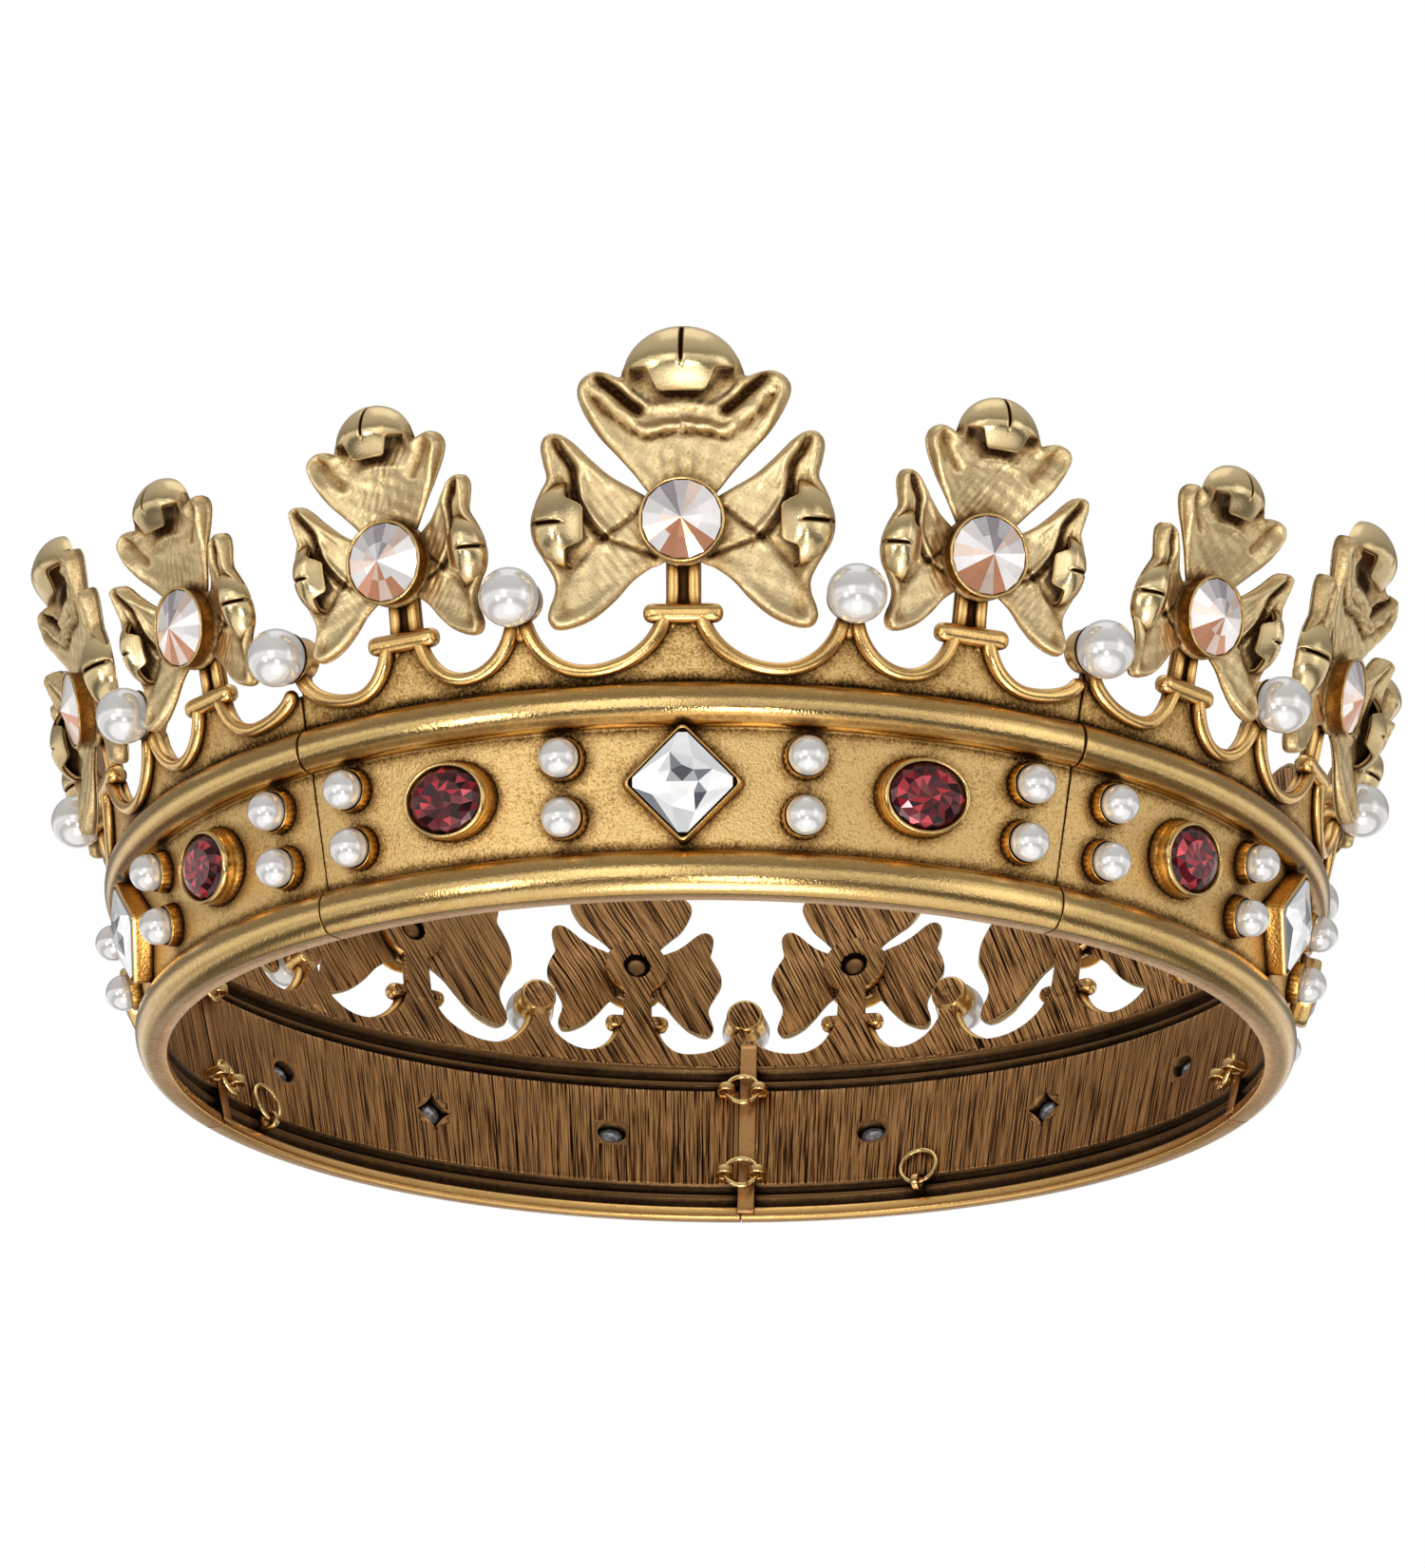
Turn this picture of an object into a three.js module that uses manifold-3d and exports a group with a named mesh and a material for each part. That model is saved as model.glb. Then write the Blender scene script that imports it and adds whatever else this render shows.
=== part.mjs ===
// Jointed circlet crown: five equal cast band segments joined by jump-ring links,
// with three-petal fleurons, pointed crystals, square crystals, oval stones and pearls.
// Millimetres, +Z up. The band leans outward, so most sizes are given on its surface:
//   a = angle round the crown in degrees (0 faces -Y, positive towards +X)
//   u = distance up the sloping wall from the bottom rim
//   n = distance outward from the recessed face of the band
import * as THREE from "three";
import { mergeVertices } from "three/addons/utils/BufferGeometryUtils.js";
import Module from "manifold-3d";

const wasm = await Module();
wasm.setup();

// ---- driving dimensions -------------------------------------------------
const BASE_RADIUS = 92.4; // recessed face of the band at the bottom rim
const LEAN_DEG = 14; // outward lean of the wall
const SEGMENTS = 5;
const SEGMENT_DEG = 360 / SEGMENTS;
const SEAM_GAP = 0.5;
const WALL = 1.9; // wall thickness behind the recess
const LOWER_RAIL = { from: 0, to: 7.0, proud: 2.7 };
const UPPER_RAIL = { from: 25.3, to: 32.1, proud: 2.9 };
const CHANNEL_FLOOR = -0.1; // the channels behind both rails
const CREST_FRONT = 0.2;
const MID_U = 16.7; // height of the stones on the band
const SQUARE = { side: 11.6, bezelSide: 12.9, bezelTop: 3.2, girdle: 3.5, table: 4.7 };
const OVAL = { at: 21.3, rx: 6.9, ry: 5.75, stoneX: 6.2, stoneY: 5.05, top: 4.4, rim: 3.3 };
const BAND_PEARL = { at: [10.66, 31.5], u: [12.26, 21.15], r: 3.0, n: 3.0, cup: 3.35, cupTop: 2.0 };
const CREST_PEARL = { at: 13.9, u: 45.6, seamU: 43.3, r: 4.5, n: 4.7, cup: 4.7, cupTop: 2.4 };
const FLEURON_AT = 24.6; // the two small fleurons of a segment
const FLEURON = {
  large: { scale: 1, u: 55.9, collarU: 42.3 },
  small: { scale: 0.735, u: 53.8, collarU: 41.9 },
};
const FLEURON_BACK = 0.55;
const FLEURON_THICK = 1.6;
const CRYSTAL = { r: 5.7, girdle: 4.1, front: 6.1, back: 2.2, cupOuter: 6.6, cupInner: 6.2, cupTop: 4.5 };
const BOSS = { r: 6.3 };
const SWAG_WIRE = 2.1;
const COLLAR = { width: 11.4, dia: 2.6 };
const STEM = { dia: 2.5, half: 1.45 };
const LINK = { r: 3.05, wire: 0.9, n: -4.1, u: [8.0, 25.6], tilt: 8 };
const TAB = { width: 3.3, thick: 1.4, eye: 1.15, tip: -5.85 };
const PIN_RING = { r: 3.45, wire: 0.9, at: { right: 159, left: -117.5 }, eyeU: 4.4, eyeN: -3.3, lean: 5 };
// The origin is the centre of the box's base: the five-fold crown reaches further to the front than to the back.
const SHIFT_Y = 2.833;

// ---- frame on the sloping wall ------------------------------------------
const RAD = Math.PI / 180;
const S = Math.sin(LEAN_DEG * RAD);
const C = Math.cos(LEAN_DEG * RAD);
const wall = (a, u, n) =>
  new THREE.Vector3(
    (BASE_RADIUS + u * S + n * C) * Math.sin(a * RAD),
    -(BASE_RADIUS + u * S + n * C) * Math.cos(a * RAD),
    u * C - n * S,
  );
// x runs along the rim, y up the wall, z outward
function seat(a, u, n) {
  const out = new THREE.Vector3(Math.sin(a * RAD), -Math.cos(a * RAD), 0);
  const t = new THREE.Vector3(Math.cos(a * RAD), Math.sin(a * RAD), 0);
  const up = out.clone().multiplyScalar(S).add(new THREE.Vector3(0, 0, C));
  const nrm = out.clone().multiplyScalar(C).add(new THREE.Vector3(0, 0, -S));
  return new THREE.Matrix4().makeBasis(t, up, nrm).setPosition(wall(a, u, n));
}

// ---- solids ---------------------------------------------------------------
function solid(geometry, matrix) {
  let g = geometry.clone();
  g.deleteAttribute("normal");
  g.deleteAttribute("uv");
  if (matrix) g.applyMatrix4(matrix);
  g = mergeVertices(g, 1e-4);
  return new wasm.Manifold(
    new wasm.Mesh({
      numProp: 3,
      vertProperties: new Float32Array(g.attributes.position.array),
      triVerts: new Uint32Array(g.index.array),
    }),
  );
}
const joined = (list) => list.reduce((x, y) => x.add(y));
function toGeometry(m) {
  const mesh = m.getMesh();
  const g = new THREE.BufferGeometry();
  g.setAttribute("position", new THREE.BufferAttribute(new Float32Array(mesh.vertProperties), 3));
  g.setIndex(new THREE.BufferAttribute(new Uint32Array(mesh.triVerts), 1));
  const flat = g.toNonIndexed();
  flat.computeVertexNormals();
  return flat;
}
const move = (x, y, z) => new THREE.Matrix4().makeTranslation(x, y, z);
const turn = (axis, deg) =>
  new THREE.Matrix4().makeRotationAxis(new THREE.Vector3(...axis), deg * RAD);
// turned about the local z axis: points are [radius, height along z]
function turned(points, sides, sx = 1, sy = 1) {
  const g = new THREE.LatheGeometry(points.map((p) => new THREE.Vector2(p[0], p[1])), sides);
  g.applyMatrix4(turn([1, 0, 0], 90)); // y becomes z
  g.applyMatrix4(new THREE.Matrix4().makeScale(sx, sy, 1));
  return g;
}
const disc = (r, z0, z1, sides, sx, sy) => turned([[0, z0], [r, z0], [r, z1], [0, z1]], sides, sx, sy);
function ringGeometry(r, wire, around, section) {
  // lathe about z of a round section
  const pts = [];
  for (let i = 0; i <= section; i++) {
    const t = (i / section) * 2 * Math.PI;
    pts.push([r + (wire / 2) * Math.cos(t), (wire / 2) * Math.sin(t)]);
  }
  pts[section] = pts[0].slice();
  return turned(pts, around);
}
function wireAlong(points, dia, steps, sides) {
  const shape = new THREE.Shape();
  for (let i = 0; i < sides; i++) {
    const t = ((i + 0.5) / sides) * 2 * Math.PI;
    const x = (dia / 2) * Math.cos(t);
    const y = (dia / 2) * Math.sin(t);
    if (i === 0) shape.moveTo(x, y);
    else shape.lineTo(x, y);
  }
  const path = new THREE.CatmullRomCurve3(points, false, "centripetal");
  return new THREE.ExtrudeGeometry(shape, { steps, extrudePath: path, bevelEnabled: false, curveSegments: 1 });
}

// ---- band ring, revolved once and cut into segments ------------------------
function railArc(rail, points) {
  const out = [];
  const mid = (rail.from + rail.to) / 2;
  const half = (rail.to - rail.from) / 2;
  for (let i = 0; i <= points; i++) {
    const t = -Math.PI / 2 + (i / points) * Math.PI;
    out.push([mid + half * Math.sin(t), rail.proud * Math.cos(t)]);
  }
  return out;
}
function revolved(un, sides) {
  // un: closed loop of [u, n], counter-clockwise seen with r to the right and z up
  const pts = un.map(([u, n]) => {
    const z = Math.max(0, u * C - n * S);
    return new THREE.Vector2(BASE_RADIUS + u * S + n * C, z);
  });
  pts.push(pts[0].clone());
  const g = new THREE.LatheGeometry(pts, sides);
  g.applyMatrix4(turn([1, 0, 0], 90));
  return g;
}
const RING_SIDES = 40;
const band = [
  ...railArc(LOWER_RAIL, 3),
  ...railArc(UPPER_RAIL, 3),
  [UPPER_RAIL.to, -WALL],
  [UPPER_RAIL.to - 1.0, -WALL],
  [(UPPER_RAIL.to + UPPER_RAIL.from) / 2 + 0.3, CHANNEL_FLOOR],
  [UPPER_RAIL.from + 1.5, -WALL],
  [LOWER_RAIL.to - 0.6, -WALL],
  [(LOWER_RAIL.to + LOWER_RAIL.from) / 2 + 0.6, CHANNEL_FLOOR],
  [1.7, -WALL],
  [-WALL * (S / C) - 0.01, -WALL], // flat foot, level with the rail's lower edge
];
const bandRing = solid(revolved(band, RING_SIDES));
const crestRing = solid(
  revolved(
    [
      [UPPER_RAIL.to - 0.6, CREST_FRONT],
      [42.6, CREST_FRONT],
      [42.6, CREST_FRONT - 1.9],
      [UPPER_RAIL.to - 0.6, CREST_FRONT - 1.9],
    ],
    RING_SIDES,
  ),
);

// wedge with flat sides, each half the seam gap inside its seam plane
function wedge() {
  const big = 180;
  const h = SEGMENT_DEG / 2;
  const inset = SEAM_GAP / 2 / Math.sin(h * RAD);
  const shape = new THREE.Shape();
  shape.moveTo(0, -inset);
  shape.lineTo(big * Math.sin(h * RAD), -inset - big * Math.cos(h * RAD));
  shape.lineTo(0, -big * 1.3);
  shape.lineTo(-big * Math.sin(h * RAD), -inset - big * Math.cos(h * RAD));
  shape.closePath();
  return new THREE.ExtrudeGeometry(shape, { depth: 120, bevelEnabled: false }).applyMatrix4(move(0, 0, -20));
}

// ---- swags -----------------------------------------------------------------
// [angle, u] of the ends and the low point of each hanging rod, over one segment
const RIGHT_END = [35.1, 37.2];
const swags = [
  [[-35.4, 39.6], [-29.8, 34.7], [-26.0, 41.2]],
  [[-23.2, 41.2], [-19.0, 34.7], [-14.6, 41.4]],
  [[-13.2, 41.4], [-8.0, 34.0], [-1.5, 41.6]],
  [[1.5, 41.6], [8.0, 34.0], [13.2, 41.4]],
  [[14.6, 41.4], [19.0, 34.7], [23.2, 41.2]],
  [[26.0, 41.2], [30.4, 34.7], RIGHT_END],
];
function swagPoints([p, q, r], n, steps) {
  const pts = [];
  for (let i = 0; i <= steps; i++) {
    const t = i / steps;
    const a = p[0] + (r[0] - p[0]) * t;
    const k = a < q[0] ? (q[0] - a) / (q[0] - p[0]) : (a - q[0]) / (r[0] - q[0]);
    const end = a < q[0] ? p[1] : r[1];
    const drop = 1 - Math.sqrt(Math.max(0, 1 - 0.93 * k * k));
    pts.push([a, q[1] + (end - q[1]) * (drop / (1 - Math.sqrt(0.07))), n]);
  }
  return pts;
}
function swagCutter(sw, a0) {
  // the open window above a rod, cut through the crest plate
  const pts = swagPoints(sw, 0, 4);
  const mid = sw[1][0];
  const k = (BASE_RADIUS + 38 * S) * RAD;
  const shape = new THREE.Shape();
  pts.forEach(([a, u], i) => {
    const x = (a - mid) * k;
    if (i === 0) shape.moveTo(x, u - 38);
    else shape.lineTo(x, u - 38);
  });
  shape.lineTo((pts[4][0] - mid) * k, 10);
  shape.lineTo((pts[0][0] - mid) * k, 10);
  shape.closePath();
  const g = new THREE.ExtrudeGeometry(shape, { depth: 12, bevelEnabled: false });
  return solid(g, seat(a0 + mid, 38, -6));
}

// ---- fleuron ------------------------------------------------------------------
// outlines of the petals about the crystal's centre, at large size; one half each, mirrored
const TOP_PETAL = [
  [0, 3.0], [4.6, 5.2], [13.6, 16.4], [15.7, 21.6], [13.6, 24.8], [8.9, 24.6], [5.2, 28.6], [0, 29.3],
];
const SIDE_PETAL = [
  [3.0, -2.2], [5.3, 4.2], [12.0, 9.0], [19.4, 15.6], [21.0, 14.8], [20.4, 6.6], [22.6, 2.6], [21.6, -2.6],
  [18.9, -8.0], [19.9, -12.8], [18.3, -15.2], [14.6, -14.2], [6.6, -5.4], [3.9, -5.2],
];
function petal(points, k) {
  const shape = new THREE.Shape();
  points.forEach(([x, y], i) => (i ? shape.lineTo(x * k, y * k) : shape.moveTo(x * k, y * k)));
  shape.closePath();
  return new THREE.ExtrudeGeometry(shape, { depth: FLEURON_THICK, bevelEnabled: false }).applyMatrix4(
    move(0, 0, FLEURON_BACK),
  );
}
const mirrored = (pts) => pts.map(([x, y]) => [-x, y]).reverse();
// a curled petal end: a low dome standing on the petal
function dome(x, y, rx, ry, top) {
  const z = FLEURON_BACK + 0.3;
  const g = turned([[0, z], [1, z], [0.8, z + (top - z) * 0.72], [0, top]], 6, rx, ry);
  return g.applyMatrix4(move(x, y, 0));
}
function fleuronSolid(size) {
  const k = FLEURON[size].scale;
  const top = [...TOP_PETAL, ...TOP_PETAL.slice(1, -1).map(([x, y]) => [-x, y]).reverse()];
  let body = joined([
    solid(petal(top, k)),
    solid(petal(SIDE_PETAL, k)),
    solid(petal(mirrored(SIDE_PETAL), k)),
    solid(dome(0, 22.4 * k, 8.2 * k, 6.7 * k, 6.6 * k)),
    solid(dome(18.4 * k, 0.9 * k, 4.0 * k, 5.4 * k, 6.0 * k)),
    solid(dome(-18.4 * k, 0.9 * k, 4.0 * k, 5.4 * k, 6.0 * k)),
    solid(disc(CRYSTAL.cupOuter, FLEURON_BACK, CRYSTAL.cupTop, 10)),
  ]);
  // nothing behind the back face, and a seat for the crystal
  body = body.subtract(solid(disc(CRYSTAL.cupInner, 1.7, 9, 10)));
  return body;
}
const crystalSolid = () =>
  solid(turned([[0, CRYSTAL.back], [CRYSTAL.r, CRYSTAL.girdle - 0.25], [CRYSTAL.r, CRYSTAL.girdle + 0.2], [0, CRYSTAL.front]], 10));

// ---- one band segment, centred on angle 0 ---------------------------------------
function segmentSolid() {
  const parts = [];
  const cuts = [];
  const w = solid(wedge());
  let crest = crestRing.intersect(w);
  for (const sw of swags) crest = crest.subtract(swagCutter(sw, 0));
  // the last peak before the right-hand seam stays below the neighbour's seam pearl
  crest = crest.subtract(
    solid(new THREE.BoxGeometry(16, 10, 12), seat(39.2, 37.9 + 5, -1)),
  );
  parts.push(bandRing.intersect(w), crest);
  for (const sw of swags) {
    const pts = swagPoints(sw, 0.9, 8).map(([a, u, n]) => wall(a, u, n));
    parts.push(solid(wireAlong(pts, SWAG_WIRE, 5, 4)));
  }
  for (const [at, size] of [[-FLEURON_AT, "small"], [0, "large"], [FLEURON_AT, "small"]]) {
    const f = FLEURON[size];
    // boss that carries the fleuron, twin stems, and the collar that binds them
    const stemLength = f.u - f.collarU;
    parts.push(solid(disc(BOSS.r * (size === "large" ? 1 : 0.93), CREST_FRONT - 1.9, CREST_FRONT, 8), seat(at, f.u, 0)));
    parts.push(
      solid(new THREE.BoxGeometry(2 * STEM.half + STEM.dia, stemLength - 3.2, 2.0),
        seat(at, f.collarU - 1.5 + (stemLength - 3.2) / 2, -0.82)),
    );
    parts.push(
      solid(new THREE.CylinderGeometry(COLLAR.dia / 2, COLLAR.dia / 2, COLLAR.width, 5),
        seat(at, f.collarU, 0.6).multiply(turn([0, 0, 1], 90))),
    );
  }
  // crest pearls in their cups: two between the fleurons and one over the left-hand seam
  const crestPearls = [
    [-CREST_PEARL.at, CREST_PEARL.u],
    [CREST_PEARL.at, CREST_PEARL.u],
    [-SEGMENT_DEG / 2, CREST_PEARL.seamU],
  ];
  for (const [a, u] of crestPearls) {
    parts.push(
      solid(
        turned([[0, CREST_FRONT - 1.9], [CREST_PEARL.cup, CREST_FRONT - 1.9], [CREST_PEARL.r, CREST_PEARL.n + 1],
          [CREST_PEARL.r * 0.66, CREST_PEARL.n + CREST_PEARL.r * 0.75], [0, CREST_PEARL.n + CREST_PEARL.r]], 8),
        seat(a, u, 0),
      ),
    );
  }
  // band pearls
  for (const a of BAND_PEARL.at.flatMap((x) => [-x, x])) {
    for (const u of BAND_PEARL.u) {
      parts.push(
        solid(
          turned([[0, -0.5], [BAND_PEARL.cup, -0.5], [BAND_PEARL.r, BAND_PEARL.n + 0.8],
            [0, BAND_PEARL.n + BAND_PEARL.r]], 6),
          seat(a, u, 0),
        ),
      );
    }
  }
  // oval stones in tall bezels
  for (const side of [-1, 1]) {
    parts.push(
      solid(
        turned([[0, -0.6], [1, -0.6], [1, OVAL.rim], [0.62, OVAL.top], [0, OVAL.top]], 8, OVAL.rx, OVAL.ry),
        seat(side * OVAL.at, MID_U, 0),
      ),
    );
  }
  // square bezel on its point, open at the front
  const sq = (side, z0, z1) =>
    solid(turned([[0, z0], [side / Math.SQRT2, z0], [side / Math.SQRT2, z1], [0, z1]], 4), seat(0, MID_U, 0));
  parts.push(sq(SQUARE.bezelSide, -0.6, SQUARE.bezelTop));
  cuts.push(sq(SQUARE.bezelSide - 0.6, 0.5, 9));
  // eyes for the jump-ring links, two at each end
  const arc = (u, n) => 1 / ((BASE_RADIUS + u * S + n * C) * RAD);
  for (const side of [-1, 1]) {
    for (const u of LINK.u) {
      const at = side * SEGMENT_DEG / 2;
      const local = seat(at, u, 0);
      const x = -side * LINK.r;
      const depth = -WALL + 0.6 - TAB.tip;
      parts.push(
        solid(new THREE.BoxGeometry(TAB.width, TAB.thick, depth), local.clone().multiply(move(x, 0, TAB.tip + depth / 2))),
      );
      cuts.push(
        solid(new THREE.CylinderGeometry(TAB.eye, TAB.eye, 4, 6), local.clone().multiply(move(x, 0, LINK.n))),
      );
    }
  }
  let s = joined(parts);
  for (const c of cuts) s = s.subtract(c);
  return s;
}

// ---- assembly ----------------------------------------------------------------
const gold = (roughness, color = 0xb8924a) =>
  new THREE.MeshStandardMaterial({ color, roughness, metalness: 1 });
const root = new THREE.Group();
const crown = new THREE.Group();
crown.position.set(0, SHIFT_Y, 0);
root.add(crown);
function place(name, geometry, material, parent, matrix) {
  const mesh = new THREE.Mesh(geometry, material);
  mesh.name = name;
  if (matrix) matrix.decompose(mesh.position, mesh.quaternion, mesh.scale);
  parent.add(mesh);
  return mesh;
}

const segmentBase = segmentSolid();
const fleuronGeo = { large: toGeometry(fleuronSolid("large")), small: toGeometry(fleuronSolid("small")) };
const crystalGeo = toGeometry(crystalSolid());
const squareGeo = toGeometry(
  solid(
    turned(
      [[0, 0.95], [SQUARE.side / Math.SQRT2 * 0.45, 0.95], [SQUARE.side / Math.SQRT2, SQUARE.girdle - 0.4], [SQUARE.side / Math.SQRT2, SQUARE.girdle],
        [SQUARE.side / Math.SQRT2 * 0.62, SQUARE.table], [0, SQUARE.table]], 4),
  ),
);
// an eye for a hair-pin ring, standing in the lower channel
function pinEye(a) {
  const local = seat(a, PIN_RING.eyeU, 0);
  const plate = solid(new THREE.BoxGeometry(1.3, 3.0, 4.9), local.clone().multiply(move(0, 0, -2.35)));
  const hole = solid(
    new THREE.CylinderGeometry(1.0, 1.0, 4, 8),
    local.clone().multiply(move(0, 0, PIN_RING.eyeN)).multiply(turn([0, 0, 1], 90)),
  );
  return [plate, hole];
}
const places = {
  front: 0,
  right_front: SEGMENT_DEG,
  right_rear: 2 * SEGMENT_DEG,
  left_rear: -2 * SEGMENT_DEG,
  left_front: -SEGMENT_DEG,
};
for (const [name, angle] of Object.entries(places)) {
  const group = new THREE.Group();
  group.rotation.z = angle * RAD;
  crown.add(group);
  let seg = segmentBase;
  for (const a of Object.values(PIN_RING.at)) {
    const rel = ((a - angle + 540) % 360) - 180;
    if (Math.abs(rel) < SEGMENT_DEG / 2) {
      const [plate, hole] = pinEye(rel);
      seg = seg.add(plate).subtract(hole);
    }
  }
  place("band_" + name, toGeometry(seg), gold(0.35), group);
  for (const [pos, at, size] of [["left", -FLEURON_AT, "small"], ["centre", 0, "large"], ["right", FLEURON_AT, "small"]]) {
    place(`fleuron_${name}_${pos}`, fleuronGeo[size], gold(0.3, 0xd0b070), group, seat(at, FLEURON[size].u, 0));
    place(
      `crystal_${name}_${pos}`,
      crystalGeo,
      new THREE.MeshStandardMaterial({ color: 0xf2ddd0, roughness: 0.05, metalness: 0.1 }),
      group,
      seat(at, FLEURON[size].u, 0),
    );
  }
  place(
    `square_crystal_${name}`,
    squareGeo,
    new THREE.MeshStandardMaterial({ color: 0xeef2f4, roughness: 0.05, metalness: 0.1 }),
    group,
    seat(0, MID_U, 0),
  );
}
const seams = { right_front: 36, right_rear: 108, back: 180, left_rear: -108, left_front: -36 };
const linkGeo = ringGeometry(LINK.r, LINK.wire, 12, 4);
for (const [name, a] of Object.entries(seams)) {
  LINK.u.forEach((u, i) => {
    place(
      `link_${name}_${i ? "upper" : "lower"}`,
      linkGeo,
      gold(0.25, 0xcda05a),
      crown,
      seat(a, u, LINK.n).multiply(turn([1, 0, 0], LINK.tilt)),
    );
  });
}
const pinGeo = ringGeometry(PIN_RING.r, PIN_RING.wire, 16, 5);
for (const [name, a] of Object.entries(PIN_RING.at)) {
  place(
    `pin_ring_${name}`,
    pinGeo,
    gold(0.25, 0xd8b070),
    crown,
    seat(a, PIN_RING.eyeU, PIN_RING.eyeN).multiply(turn([1, 0, 0], PIN_RING.lean)).multiply(move(0, PIN_RING.r, 0)),
  );
}

export default root;
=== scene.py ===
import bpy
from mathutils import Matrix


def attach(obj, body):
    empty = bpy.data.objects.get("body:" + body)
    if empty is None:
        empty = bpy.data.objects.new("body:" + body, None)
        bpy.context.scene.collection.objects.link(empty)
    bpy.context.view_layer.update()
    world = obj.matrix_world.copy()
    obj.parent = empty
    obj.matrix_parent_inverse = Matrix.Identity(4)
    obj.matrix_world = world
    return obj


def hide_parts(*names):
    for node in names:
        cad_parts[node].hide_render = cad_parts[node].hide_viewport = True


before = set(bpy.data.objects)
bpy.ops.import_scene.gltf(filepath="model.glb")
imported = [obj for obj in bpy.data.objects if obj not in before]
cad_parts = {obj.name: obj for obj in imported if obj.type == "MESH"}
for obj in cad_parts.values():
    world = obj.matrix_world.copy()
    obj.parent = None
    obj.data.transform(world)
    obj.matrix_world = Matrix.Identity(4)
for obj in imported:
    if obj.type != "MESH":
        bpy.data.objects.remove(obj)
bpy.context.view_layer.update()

import math

import bmesh
import bpy
import numpy as np
from mathutils import Matrix, Vector

# ------------------------------------------------------------------ dimensions (mm), as in the CAD
BASE_RADIUS = 92.4
LEAN = math.radians(14)
SEG = 72.0
SEAM_GAP = 0.22
HINGE_RADIUS = 92.46
WALL = 1.9
MID_U = 16.7
SHIFT_Y = 2.833
S, C = math.sin(LEAN), math.cos(LEAN)
FLEURON_AT = 24.6
FLEURON = {"large": (1.0, 55.9, 42.3), "small": (0.735, 53.8, 41.9)}
PLACES = {"front": 0, "right_front": 72, "right_rear": 144, "left_rear": -144, "left_front": -72}
SEAMS = {"right_front": 36, "right_rear": 108, "back": 180, "left_rear": -108, "left_front": -36}
rng = np.random.default_rng(7)


def wall(a, u, n):
    """Points on the leaning wall, in metres, before the shift of the whole crown."""
    a = np.radians(np.asarray(a, float))
    u = np.asarray(u, float)
    n = np.asarray(n, float)
    r = BASE_RADIUS + u * S + n * C
    return np.stack(np.broadcast_arrays(r * np.sin(a), -r * np.cos(a), u * C - n * S), -1) * 0.001


def seat(a, u, n):
    """Rotation (columns: along the rim, up the wall, outward) and origin in mm."""
    t = math.radians(a)
    out = np.array([math.sin(t), -math.cos(t), 0.0])
    tan = np.array([math.cos(t), math.sin(t), 0.0])
    up = out * S + np.array([0, 0, C])
    nrm = out * C + np.array([0, 0, -S])
    return np.stack([tan, up, nrm], 1), wall(a, u, n) * 1000


def sat(p, a, u, n=0.0, spin=0.0):
    """Local mm points to metres on the wall."""
    R, o = seat(a, u, n)
    p = np.asarray(p, float)
    if spin:
        c, s = math.cos(math.radians(spin)), math.sin(math.radians(spin))
        p = np.stack([p[..., 0] * c - p[..., 1] * s, p[..., 0] * s + p[..., 1] * c, p[..., 2]], -1)
    return (p @ R.T + o) * 0.001


def sstep(x, a, b):
    t = np.clip((np.asarray(x, float) - a) / (b - a), 0, 1)
    return t * t * (3 - 2 * t)


def catmull(points, n, closed=False):
    """Points along a smooth curve through the given ones, evenly spread."""
    P = np.asarray(points, float)
    m = len(P)
    out = []
    spans = m if closed else m - 1
    for i in range(spans):
        if closed:
            p0, p1, p2, p3 = P[(i - 1) % m], P[i], P[(i + 1) % m], P[(i + 2) % m]
        else:
            p0, p1, p2, p3 = P[max(i - 1, 0)], P[i], P[i + 1], P[min(i + 2, m - 1)]
        for k in range(16):
            t = k / 16
            out.append(0.5 * ((2 * p1) + (p2 - p0) * t + (2 * p0 - 5 * p1 + 4 * p2 - p3) * t * t
                              + (3 * p1 - p0 - 3 * p2 + p3) * t ** 3))
    out.append(P[0] if closed else P[-1])
    out = np.array(out)
    d = np.r_[0, np.cumsum(np.linalg.norm(np.diff(out, axis=0), axis=1))]
    s = np.linspace(0, d[-1], n + 1)[: n if closed else n + 1]
    return np.stack([np.interp(s, d, out[:, j]) for j in range(out.shape[1])], 1)


def dist_to(points, line, closed=False):
    """Distance in the plane from each point to a polyline, and which side of it (positive to its left)."""
    L = np.asarray(line, float)
    if closed:
        L = np.vstack([L, L[:1]])
    best = np.full(len(points), 1e9)
    side = np.zeros(len(points))
    for a, b in zip(L[:-1], L[1:]):
        ab = b - a
        t = np.clip(((points - a) @ ab) / max(ab @ ab, 1e-12), 0, 1)
        q = a + t[:, None] * ab
        d = np.linalg.norm(points - q, axis=1)
        s = ab[0] * (points[:, 1] - a[1]) - ab[1] * (points[:, 0] - a[0])
        m = d < best
        best[m] = d[m]
        side[m] = np.sign(s[m])
    return best, side


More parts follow.
